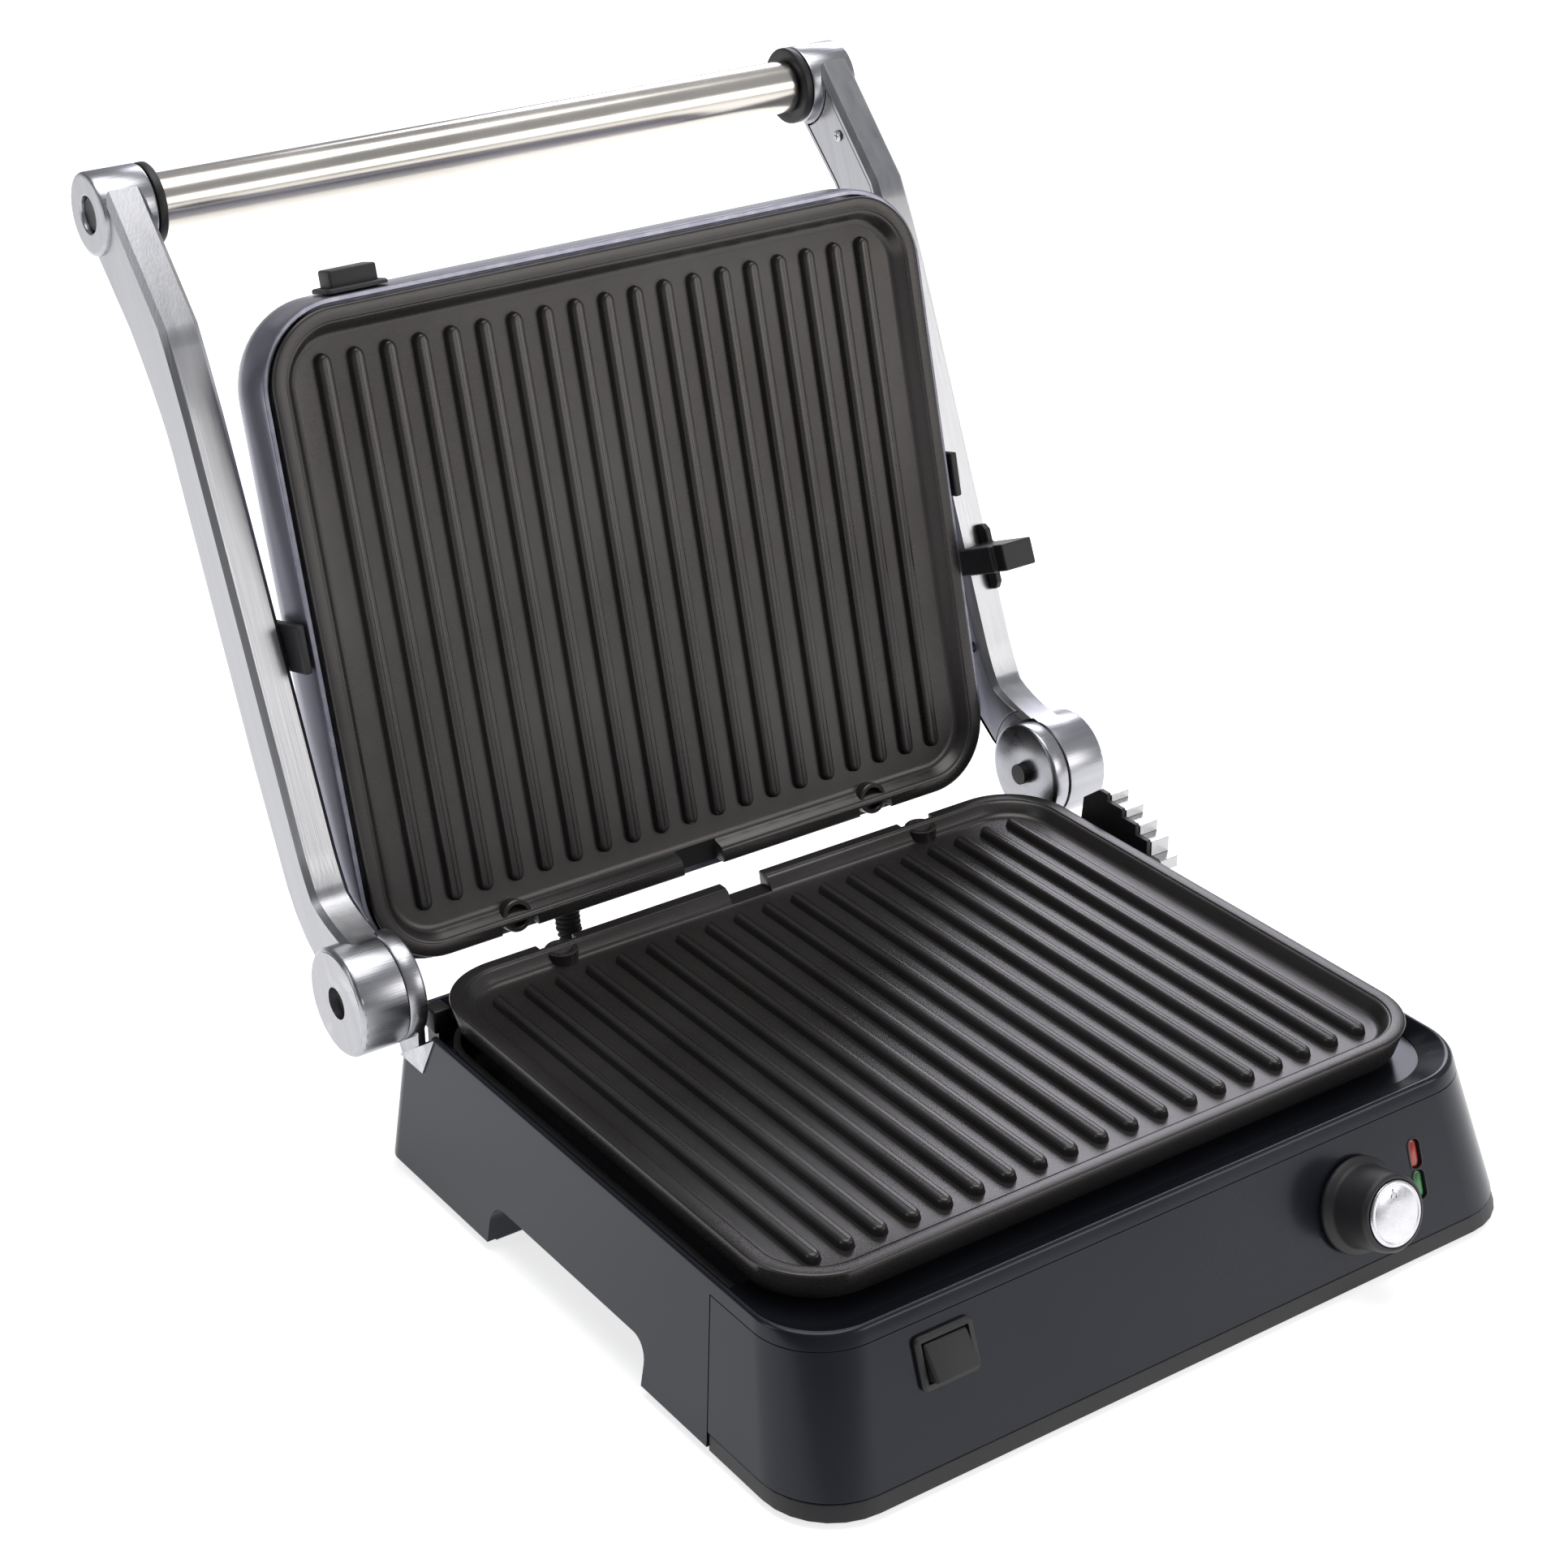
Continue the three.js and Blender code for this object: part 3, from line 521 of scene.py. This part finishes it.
black_rubber = surface(
    "black rubber", grey(0.012), grey(0.022), 0.0, 0.65, 0.85, dust=0.12, speckle=2400, grain=0.25, speculars=0.3,
)
spun_aluminium = surface(
    "spun aluminium", (0.56, 0.56, 0.58, 1), (0.74, 0.74, 0.76, 1), 1.0, 0.2, 0.32, worn=(0.86, 0.86, 0.87, 1),
    brushed=((PANEL_LEAN, 0, 0), 1500, 30), grain=0.05, colour_by="streaks",
)
red_lens = surface(
    "red lamp lens", (0.3, 0.02, 0.012, 1), (0.45, 0.04, 0.025, 1), 0.0, 0.08, 0.16,
    mottle=160, grain=0.02, coat=0.5, dust=0,
)
green_lens = surface(
    "green lamp lens", (0.02, 0.14, 0.04, 1), (0.04, 0.22, 0.07, 1), 0.0, 0.08, 0.16,
    mottle=160, grain=0.02, coat=0.5, dust=0,
)
floor_white = surface("pale floor", grey(0.86), grey(0.9), 0.0, 0.55, 0.7, mottle=3.0, speckle=300, grain=0.02, dust=0)
floor_shader = floor_white.node_tree.nodes["Principled BSDF"]
floor_shader.inputs["Emission Color"].default_value = grey(1.0)
floor_shader.inputs["Emission Strength"].default_value = 0.72

FINISH_OF = {
    trim_plastic: "base_tray front_trim",
    heater_steel: "lower_heating_element upper_heating_element",
    mill_aluminium: "lower_heat_shield upper_heat_shield upper_frame",
    bright_steel: "thermostat_shaft lower_release_latch lower_release_spring upper_release_spring pivot_pin_left "
                  "pivot_pin_right lower_arm_screw_left lower_arm_screw_right upper_arm_screw_left "
                  "upper_arm_screw_right rack_steps",
    black_plastic: "thermostat lamp_block hinge_pin_left hinge_pin_right pivot_bush_left pivot_bush_right "
                   "handle_bolt_left handle_bolt_right handle_collar_left handle_collar_right knob_body "
                   "rack_carrier pivot_block_left pivot_block_right height_slider",
    black_rubber: "cable_gland foot_front_left foot_front_right foot_rear_left foot_rear_right wiring_conduit",
    slate_paint: "base_cover front_fascia",
    lid_paint: "upper_shell",
    non_stick: "lower_plate upper_plate",
    brushed_aluminium: "arm_left arm_right arm_cover_left arm_cover_right",
    turned_aluminium: "hinge_bracket_left hinge_bracket_right",
    polished_handle: "handle_tube",
    spun_aluminium: "knob_cap",
    red_lens: "red_lens",
    green_lens: "green_lens",
    button_plastic: "lower_release_bezel lower_release_button upper_release_bezel upper_release_button",
}
for finish, node_names in FINISH_OF.items():
    for node_name in node_names.split():
        node_object = frame["nodes"][node_name]
        node_object.data.materials.clear()
        node_object.data.materials.append(finish)


# ---- room and light ----
def make_room():
    put_down()
    bpy.ops.mesh.primitive_plane_add(size=12, location=(0, 0, 0))
    floor = named("floor")
    floor.data.materials.append(floor_white)
    world = bpy.data.worlds.new("studio")
    world.use_nodes = True
    bpy.context.scene.world = world
    sky = world.node_tree
    seen = new_node(sky, "ShaderNodeBackground", {"Color": (1, 1, 1, 1), "Strength": 1.0})
    way = new_node(sky, "ShaderNodeSeparateXYZ", {"Vector": sky.nodes.new("ShaderNodeTexCoord").outputs["Generated"]})
    from_left = new_node(
        sky, "ShaderNodeMapRange",
        {"Value": way.outputs["X"], "From Min": -0.9, "From Max": 0.5, "To Min": 0.08, "To Max": 0.42},
    )
    lit = new_node(sky, "ShaderNodeBackground", {"Color": (0.93, 0.95, 1, 1), "Strength": from_left.outputs[0]})
    ray = sky.nodes.new("ShaderNodeLightPath")
    either = new_node(
        sky, "ShaderNodeMixShader", {0: ray.outputs["Is Camera Ray"], 1: lit.outputs[0], 2: seen.outputs[0]},
    )
    sky.links.new(either.outputs[0], sky.nodes["World Output"].inputs["Surface"])
    for name, place, aim, size, power, colour in (
        ("overhead softbox", (0.1, 0.1, 2.2), (0, 0, 0.1), (1.6, 1.6), 24, (1, 1, 1)),
        ("left softbox", (-2.1, 0.4, 1.0), (0, 0, 0.2), (0.5, 1.6), 5, (0.95, 0.97, 1)),
        ("front right softbox", (1.5, -2.3, 1.1), (0, 0, 0.2), (1.5, 1.1), 15, (1, 0.975, 0.94)),
        ("back right softbox", (1.7, 1.9, 1.5), (0, 0, 0.1), (1.3, 1.1), 22, (0.9, 0.9, 1)),
    ):
        data = bpy.data.lights.new(name, "AREA")
        data.shape = "RECTANGLE"
        data.size, data.size_y = size
        data.energy = power
        data.color = colour
        light = bpy.data.objects.new(name, data)
        bpy.context.scene.collection.objects.link(light)
        light.matrix_world = Matrix.Translation(place) @ (
            (Vector(aim) - Vector(place)).to_track_quat("-Z", "Y").to_matrix().to_4x4()
        )


make_room()
bpy.context.scene.view_settings.view_transform = "Standard"


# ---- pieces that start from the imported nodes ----
BODY_OF = {node: body for body, nodes in frame["record"]["behaviour"]["bodies"].items() for node in nodes}
ALONG_X = Matrix.Rotation(math.pi / 2, 4, "Y")
WIDE = 2 * COVER_HIGH.x  # a cutting block this wide passes both sides
TOP_HALF = 167.8  # half the width of the base at its top edge


def even_normals(piece):
    take(piece)
    step = piece.modifiers.new("even", "WEIGHTED_NORMAL")
    step.keep_sharp = True
    bpy.ops.object.modifier_apply(modifier=step.name)


def refined(node, material, width=0.4, segments=2, angle=35):
    """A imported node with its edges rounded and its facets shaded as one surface."""
    mesh = frame["nodes"][node].data.copy()
    piece = bpy.data.objects.new("fine_" + node, mesh)
    mesh.name = piece.name
    bpy.context.scene.collection.objects.link(piece)
    edit(piece)
    bpy.ops.mesh.select_all(action="SELECT")
    bpy.ops.mesh.remove_doubles(threshold=1e-5)
    bpy.ops.mesh.dissolve_limited(angle_limit=math.radians(1))
    put_down()
    if width:
        soften(piece, width, segments, angle)
    finish_piece(piece, BODY_OF[node], material, [node])
    even_normals(piece)
    return piece


def block(name, x0, x1, y0, y1, z0, z1, radius=0.0, segments=8):
    """A block with its four upright edges rounded."""
    piece = cube(name, x0, x1, y0, y1, z0, z1)
    if radius:
        bevel_edges(piece, radius, segments, lambda place, way: abs(way.z) > 0.9)
    return piece


def terraces(piece, top, steps):
    """Insets the top face again and again: each step is (inwards, upwards)."""
    edit(piece)
    select(piece, "FACE", lambda place, normal: normal.z > 0.9 and place.z > top - 0.02)
    for inwards, upwards in steps:
        bpy.ops.mesh.inset(thickness=inwards * MM, depth=upwards * MM)
    put_down()


def on_axis(piece, place):
    """Turns a piece made round Z so that its axis is X, and sets it down."""
    return move_by(piece, Matrix.Translation(place * MM) @ ALONG_X)


def pair(piece, body, material, replaces=()):
    """Finishes the right-hand piece and its mirror image."""
    left = mirrored(piece, piece.name.replace("right", "left"))
    finish_piece(piece, body, material, [node + "_right" for node in replaces])
    finish_piece(left, body, material, [node + "_left" for node in replaces])


def bar_x(name, radius, x0, x1, place, sides=64):
    put_down()
    bpy.ops.mesh.primitive_cylinder_add(
        vertices=sides, radius=radius * MM, depth=(x1 - x0) * MM,
        location=(place + Vector(((x0 + x1) / 2, 0, 0))) * MM, rotation=(0, math.pi / 2, 0),
    )
    return named(name)


# ---- housing of the base ----
RED_UP, GREEN_UP = 42.8, 30.6  # heights of the lamps
LOWER_BUTTON_AT = (-109, 47)
FASCIA_LOW, FASCIA_HIGH = box_mm("front_fascia")
SEAM = FASCIA_HIGH.z
LEAN_OUT = (COVER_HIGH.x + 0.2 - TOP_HALF) / 64.6  # of the side walls


def base_level(z, inset=0.0):
    down = BASE_TOP - z
    half = TOP_HALF + down * LEAN_OUT - inset
    return (z, half, HINGE.y - 289 - down * math.tan(PANEL_LEAN) + inset, BASE_BACK - inset)


def seam_back(z):
    return HINGE.y - 235 - 0.19 * (59 - z)


def front_tool(top, gap):
    tool = cube("front tool", -WIDE, WIDE, HINGE.y - 400, seam_back(-5) - gap, -5, top)
    edit(tool)
    select(tool, "VERT", lambda place, normal: place.z > 0 and place.y > HINGE.y - 390)
    slide(0, seam_back(top) - seam_back(-5), 0)
    put_down()
    return tool


def base_body(name, low, top_levels):
    levels = [base_level(low), base_level(20), base_level(45), *top_levels]
    return rings(name, levels, [
        (lambda place: place.y < 0, 31, 14), (lambda place: place.y > 0, 11, 8),
    ])


def recess_level(z, outwards):
    return (z, 159.6 + outwards, HINGE.y - 274.2 - outwards, HINGE.y - 9.6 + outwards)


deck = [base_level(BASE_TOP - 1.3)] + [
    (BASE_TOP - down, *base_level(BASE_TOP, inset)[1:])
    for down, inset in ((0.55, 0.25), (0.1, 0.75), (0, 1.5), (0.3, 2.3))
] + [
    recess_level(BASE_TOP - 6.6, 1.0), recess_level(BASE_TOP - 7.4, 0.2), recess_level(BASE_TOP - 9.0, 0), recess_level(50, 0),
]
cover = base_body("base_housing", COVER_LOW.z, deck)
arch_tool = cube("arch tool", -WIDE, WIDE, HINGE.y - 201, HINGE.y - 87, -5, 22.3)
bevel_edges(arch_tool, 9, 8, lambda place, way: abs(way.x) > 0.9 and place.z > 0)
hinge_rooms = [bar_x("hinge room", 31.5, *sorted((side * 155, side * 200)), HINGE) for side in (-1, 1)]
carve(cover, front_tool(SEAM + 0.35, 0), arch_tool, *hinge_rooms)
soften(cover, 0.5, 2, 40)
finish_piece(cover, "base", slate_paint, ["base_cover"])
even_normals(cover)

fascia = base_body("front_panel", FASCIA_LOW.z, [base_level(SEAM)])
carve(fascia, front_tool(80, 0.5), operation="INTERSECT")
for (x, z), half_x, half_y, radius in (
    ((124, RED_UP), 2.85, 6.15, 2.8), ((124, GREEN_UP), 2.85, 6.15, 2.8), (LOWER_BUTTON_AT, 11, 8.25, 1.5),
):
    hole = block("hole", -half_x, half_x, -half_y, half_y, -8, 8, radius)
    carve(fascia, move_by(hole, panel_frame(x, z)))
soften(fascia, 0.5, 2, 40)
finish_piece(fascia, "base", slate_paint, ["front_fascia"])
even_normals(fascia)
refined("front_trim", trim_plastic, 0.5)
liner = block("recess_liner", -159.3, 159.3, HINGE.y - 273.9, HINGE.y - 9.9, 47, 59.6, 29.3, 12)
terraces(liner, 59.6, [(0.5, 0.15), (2.2, 0), (0.4, -0.4), (0.1, -11)])
finish_piece(liner, "base", black_plastic)

for foot_name in ("foot_front_left", "foot_front_right", "foot_rear_left", "foot_rear_right"):
    low, high = box_mm(foot_name)
    middle = (low + high) / 2
    foot = turned("fine_" + foot_name, [(8.2, 0), (8.9, 0.25), (9.35, 0.9), (9.4, high.z)], 48)
    move_by(foot, Matrix.Translation(Vector((middle.x, middle.y, 0)) * MM))
    finish_piece(foot, "base", black_rubber, [foot_name])


# ---- cooking plates ----
def make_cooking_plate(name, half, depth, matrix, node):
    piece = block(name, -half, half, 0, depth, -12, -0.9, 31, 16)
    edit(piece)
    select(piece, "VERT", lambda place, normal: place.z < -11)
    resize_to(Vector((0, depth / 2, -12)), ((half - 2.4) / half, (depth - 4.8) / depth, 1))
    put_down()
    terraces(piece, -0.9, [
        (0.2, 0.45), (0.4, 0.3), (0.7, 0.15), (4.4, 0), (0.35, -0.55), (0.5, -0.1), (0.9, -0.5), (1.9, -3.6),
        (0.9, -0.95), (1.2, -0.6), (1.6, -0.2),
    ])
    drain = cube("drain", -10.5, 10.5, -1, 10.5, -6.4, 1)
    notches = [cube("notch", x - 9, x + 9, -1, 4, -13, 1) for x in (-95, 95)]
    carve(piece, drain, *notches)
    soften(piece, 0.35, 2, 50)
    rib = block("rib", -3.7, 3.7, 20, depth - 18, -7.4, -2.8, 3.69, 7)
    edit(rib)
    select(rib, "VERT", lambda place, normal: place.z > -3)
    resize_to(Vector((0, depth / 2, -2.8)), (0.74, 1 - 2.0 / depth, 1))
    put_down()
    bevel_edges(rib, 1.5, 5, lambda place, way: place.z > -2.81 and abs(way.z) < 0.1)
    all_ribs = [rib] + [copied(rib, "rib") for _ in range(18)]
    for number, each in enumerate(all_ribs):
        move_by(each, Matrix.Translation(Vector(((number - 9) * 15, 0, 0)) * MM))
    hooks = []
    for x in (-95, 95):
        hook = turned("hook", [(7.2, -6.6), (7.2, -1.6), (6.7, -1.1), (5.4, -1.1), (4.9, -1.6), (4.9, -6.6)], 40)
        hooks.append(move_by(hook, Matrix.Translation(Vector((x, 6.4, 0)) * MM)))
    whole = joined(name, piece, *all_ribs, *hooks)
    move_by(whole, matrix)
    finish_piece(whole, BODY_OF[node], non_stick, [node], angle=38)
    return whole


make_cooking_plate("lower_cooking_plate", PLATE_HIGH.x, PLATE_HIGH.y - PLATE_LOW.y, LOWER_FRAME, "lower_plate")
make_cooking_plate("upper_cooking_plate", LID_HALF, LID_DEPTH, LID_FRAME, "upper_plate")


# ---- housing of the lid ----
def lid_level(z, grow):
    return (z, LID_HALF + grow, 0.6 - grow, LID_DEPTH + grow)


shell = rings("lid_housing", [
    lid_level(*level) for level in (
        (-46, -27), (-45.8, -23), (-45.2, -17.5), (-44.2, -12.5), (-42.6, -7.6), (-40.4, -3.6), (-37.6, -1.0),
        (-34.6, 0.9), (-31, 2.3), (-27, 3.3), (-22, 3.8), (-14, 3.8), (-7.5, 3.6), (-4.4, 3.3), (-3.8, 3.1),
        (-3.6, 2.7),
    )
], [(lambda place: True, 29, 14)])
terraces(shell, -3.6, [(1.5, 0), (0.3, -0.4), (0.1, -8.7)])
hinge_end = cube("hinge end", -WIDE, WIDE, -20, 9, -12.7, 5)
carve(shell, hinge_end, cube("conduit room", -69.5, -51.5, -12, 6, -34, -12))
soften(shell, 0.3, 2, 45)
move_by(shell, LID_FRAME)
finish_piece(shell, "lid", lid_paint, ["upper_shell"])
even_normals(shell)


# ---- arms, drums and handle ----
for side in ("right", "left"):
    refined("arm_" + side, brushed_aluminium, 0.7, 3, 40)
    refined("arm_cover_" + side, brushed_aluminium, 0.35, 2, 40)
pivot_block = soften(cube("pivot_spacer_right", 166.0, 169.8, 132.6, 153.2, -35, -3), 0.9, 3)
move_by(pivot_block, LID_FRAME)
pair(pivot_block, "arms", black_plastic, ["pivot_block"])
barrel = turned("drum_right", [
    (22.7, 173.5), (23.35, 173.9), (23.42, 174.6), (23.42, 192.9), (23.1, 193.8), (22.3, 194.6),
    (21.2, 194.98), (9.0, 194.98), (8.1, 194.7), (7.5, 194.0), (7.3, 190.4),
], 96)
pair(on_axis(barrel, DRUM), "arms", turned_aluminium)
boss = turned("handle_boss_right", [
    (16.2, 165.3), (17.1, 165.65), (17.5, 166.5), (17.5, 188.2), (17.1, 189.1), (16.2, 189.48),
    (8.6, 189.48), (7.9, 189.1), (7.6, 188.4), (7.6, 184.2),
], 72)
pair(on_axis(boss, GRIP), "arms", turned_aluminium)
disc = turned("handle_disc_right", [
    (12.3, 161.4), (13.1, 161.2), (16.0, 160.85), (16.9, 161.0), (17.45, 161.6), (17.5, 162.5),
    (17.5, 164.0), (17.2, 164.6), (16.6, 164.9),
], 72)
pair(on_axis(disc, GRIP), "arms", black_plastic, ["handle_collar"])
bar_end = [(12, 159), (11.98, 159.8), (11.7, 160.35), (10.9, 160.5)]
bar = turned("handle_bar", [(radius, -x) for radius, x in reversed(bar_end)] + [(12, 0)] + bar_end, 96)
finish_piece(on_axis(bar, GRIP), "arms", polished_handle, ["handle_tube"])


def make_bracket():
    """The fixed half of a hinge: a flat-faced cup and the leg that goes down into the base."""
    cup = turned("hinge_bracket", [
        (1.6, 166.2), (1.9, 164.9), (2.4, 164.65), (20.9, 164.6), (21.6, 164.75), (22.6, 165.1), (23.1, 165.7),
        (23.2, 166.4), (23.2, 172.3), (22.7, 173.1),
    ], 96)
    on_axis(cup, DRUM)
    leg = cube("leg", 164.65, 168.2, HINGE.y - 18, HINGE.y + 15, HINGE.z - 50, HINGE.z)
    edit(leg)
    select(leg, "VERT", lambda place, normal: place.z < HINGE.z - 40 and place.y > HINGE.y)
    slide(0, -27, 0)
    put_down()
    soften(leg, 0.5, 2)
    pair(joined("hinge_bracket_plate_right", cup, leg), "base", turned_aluminium, ["hinge_bracket"])


make_bracket()
gusset = cube("side_gusset_left", -171.5, -170.9, HINGE.y - 26, HINGE.y - 7, 50, 67)
edit(gusset)
select(gusset, "VERT", lambda place, normal: place.z > 60)
slide(3.0, -6, 0)
select(gusset, "VERT", lambda place, normal: place.z > 60 and place.y > HINGE.y - 20)
slide(0, -18.5, 0)
put_down()
for each in (gusset, mirrored(gusset, "side_gusset_right")):
    finish_piece(each, "base", turned_aluminium)


def cross_screw(name, radius, depth):
    head = turned(name, [(radius, 0), (radius, depth * 0.5), (radius * 0.86, depth * 0.85), (radius * 0.6, depth)], 40)
    cuts = [cube("slot", -radius * 0.62, radius * 0.62, -0.32, 0.32, depth * 0.35, depth + 1),
            cube("slot", -0.32, 0.32, -radius * 0.62, radius * 0.62, depth * 0.35, depth + 1)]
    return carve(head, *cuts)


for screw_name in ("lower_arm_screw", "upper_arm_screw"):
    low, high = box_mm(screw_name + "_right")
    middle = (low + high) / 2
    screw = cross_screw(screw_name + "_head_right", 2.6, 0.95)
    inward = Matrix.Translation(Vector((high.x, middle.y, middle.z)) * MM) @ Matrix.Rotation(-math.pi / 2, 4, "Y")
    pair(move_by(screw, inward), "arms", bright_steel, [screw_name])

# ---- stepped rack and height slider ----
refined("rack_carrier", black_plastic, 0.4)
refined("rack_steps", bright_steel, 0.45)
refined("height_slider", black_plastic, 0.8, 3, 35)

for side in (-1, 1):
    rest_name = "plate_rest_" + ("left" if side < 0 else "right")
    rest = cube(rest_name, *sorted((side * 151, side * 159)), HINGE.y - 16, HINGE.y - 7, 59, 69.5)
    finish_piece(soften(rest, 0.9, 3), "base", black_plastic)


# ---- knob ----
AT_KNOB = panel_frame(KNOB.x, KNOB.z)
grip_body = turned("knob_grip", [
    (18.6, 0.9), (19.3, 1.05), (19.6, 1.6), (19.6, 2.6), (19.2, 3.3), (17.6, 4.2), (16.8, 5.0), (16.55, 6.2),
    (15.75, 19.4), (15.5, 20.8), (14.8, 21.7), (14.1, 22.0), (13.6, 21.9), (13.35, 21.5), (13.3, 20.5),
], 96)
finish_piece(move_by(grip_body, AT_KNOB), "knob", black_plastic, ["knob_body"])
cap = turned("knob_face", [
    (13.05, 20.6), (13.05, 22.2), (12.8, 22.55), (12.3, 22.75), (11.6, 22.8), (11.3, 22.65), (10.9, 22.65),
    (10.6, 22.8), (4, 22.9), (1, 22.95),
], 96)
finish_piece(move_by(cap, AT_KNOB), "knob", spun_aluminium, ["knob_cap"])
put_down()
bpy.ops.mesh.primitive_torus_add(
    major_radius=1.35 * MM, minor_radius=0.28 * MM, major_segments=32, minor_segments=8,
    location=Vector((0, 7.2, 22.85)) * MM,
)
ring_mark = named("mark")
tick = soften(cube("tick", -0.28, 0.28, 8.4, 10.4, 22.6, 23.05), 0.1, 2)
pointer = joined("knob_pointer", ring_mark, tick)
finish_piece(move_by(pointer, AT_KNOB), "knob", turned_aluminium)


# ---- lamps ----
for lens_name, material, up in (("red_lens", red_lens, RED_UP), ("green_lens", green_lens, GREEN_UP)):
    low, high = box_mm(lens_name)
    here = panel_frame((low.x + high.x) / 2, up)
    lens = block("fine_" + lens_name, -2.45, 2.45, -5.75, 5.75, -4, -1.4, 2.1, 6)
    terraces(lens, -1.4, [(0.15, 0.2), (0.35, 0.2), (0.5, 0.1)])
    finish_piece(move_by(lens, here), "base", material, [lens_name])
    surround = block(lens_name + "_bezel", -3.5, 3.5, -6.8, 6.8, -3, 0.2, 3.1, 6)
    terraces(surround, 0.2, [(0.2, 0.15), (0.45, 0), (0.15, -2.6)])
    finish_piece(move_by(surround, here), "base", trim_plastic)


# ---- release buttons ----
def make_button(frame_matrix, bodies, halves, heights, slant):
    """A bezel on the first body and a push button on the second, whose far edge is higher by slant."""
    body, push_body = bodies
    half_x, half_y = halves
    low, rise = heights
    bezel_node, button_node = push_body + "_bezel", push_body + "_button"
    bezel = block("fine_" + bezel_node, -half_x - 3.2, half_x + 3.2, -half_y - 3.2, half_y + 3.2, 0.35, 1.6, 2.6, 6)
    terraces(bezel, 1.6, [(0.35, 0.4), (0.5, 0.25), (1.6, 0), (0.2, -0.5), (0.1, -1.3)])
    finish_piece(move_by(bezel, frame_matrix), body, button_plastic, [bezel_node])
    key = cube("fine_" + button_node, -half_x, half_x, -half_y, half_y, low, rise)
    edit(key)
    select(key, "VERT", lambda place, normal: place.z > 0 and place.y > 0)
    slide(0, 0, slant)
    put_down()
    soften(key, 1.1, 4)
    finish_piece(move_by(key, frame_matrix), push_body, button_plastic, [button_node])


make_button(panel_frame(*LOWER_BUTTON_AT), ("base", "lower_release"), (9.9, 7.2), (-4, 7.4), -5.2)
UPPER_BUTTON_LOW, UPPER_BUTTON_HIGH = box_mm("upper_release_button")
BUTTON_MIDDLE = (UPPER_BUTTON_LOW + UPPER_BUTTON_HIGH) / 2
LID_END = LID_EDGE + (LID_DEPTH + 3.9) * LID_UP - 13 * LID_OUT
LID_END.x = BUTTON_MIDDLE.x
upper_button_frame = Matrix.Translation(LID_END * MM) @ Matrix.Rotation(-LID_LEAN, 4, "X")
make_button(upper_button_frame, ("lid", "upper_release"), (10.9, 5.4), (-0.5, 9.4), 0)


# ---- ribbed conduit ----
def make_conduit():
    low, high = box_mm("wiring_conduit")
    x = (low.x + high.x) / 2
    back = BASE_BACK + 0.6
    way = [(back, 40)] + [
        (HINGE.y + behind, up) for behind, up in ((10, 40), (25, 40.5), (36, 44.5), (40.5, 52), (41.5, 60), (42, 67))
    ]
    lengths = [0.0]
    for (y0, z0), (y1, z1) in zip(way, way[1:]):
        lengths.append(lengths[-1] + math.hypot(y1 - y0, z1 - z0))
    beads = []
    distance = 0.6
    while distance < lengths[-1] - 0.4:
        leg = max(i for i, length in enumerate(lengths[:-1]) if length <= distance)
        share = (distance - lengths[leg]) / (lengths[leg + 1] - lengths[leg])
        (y0, z0), (y1, z1) = way[leg], way[leg + 1]
        put_down()
        bpy.ops.mesh.primitive_torus_add(
            major_radius=4.5 * MM, minor_radius=1.25 * MM, major_segments=24, minor_segments=8,
            location=Vector((x, y0 + share * (y1 - y0), z0 + share * (z1 - z0))) * MM,
            rotation=(-math.pi / 2 + math.atan2(z1 - z0, y1 - y0), 0, 0),
        )
        beads.append(named("bead"))
        distance += 2.3
    hose = joined("ribbed_conduit", *beads)
    take(hose)
    bpy.ops.object.shade_smooth_by_angle(angle=math.radians(60))
    hose.data.materials.clear()
    hose.data.materials.append(black_rubber)
    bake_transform(hose)
    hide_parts("wiring_conduit")


make_conduit()
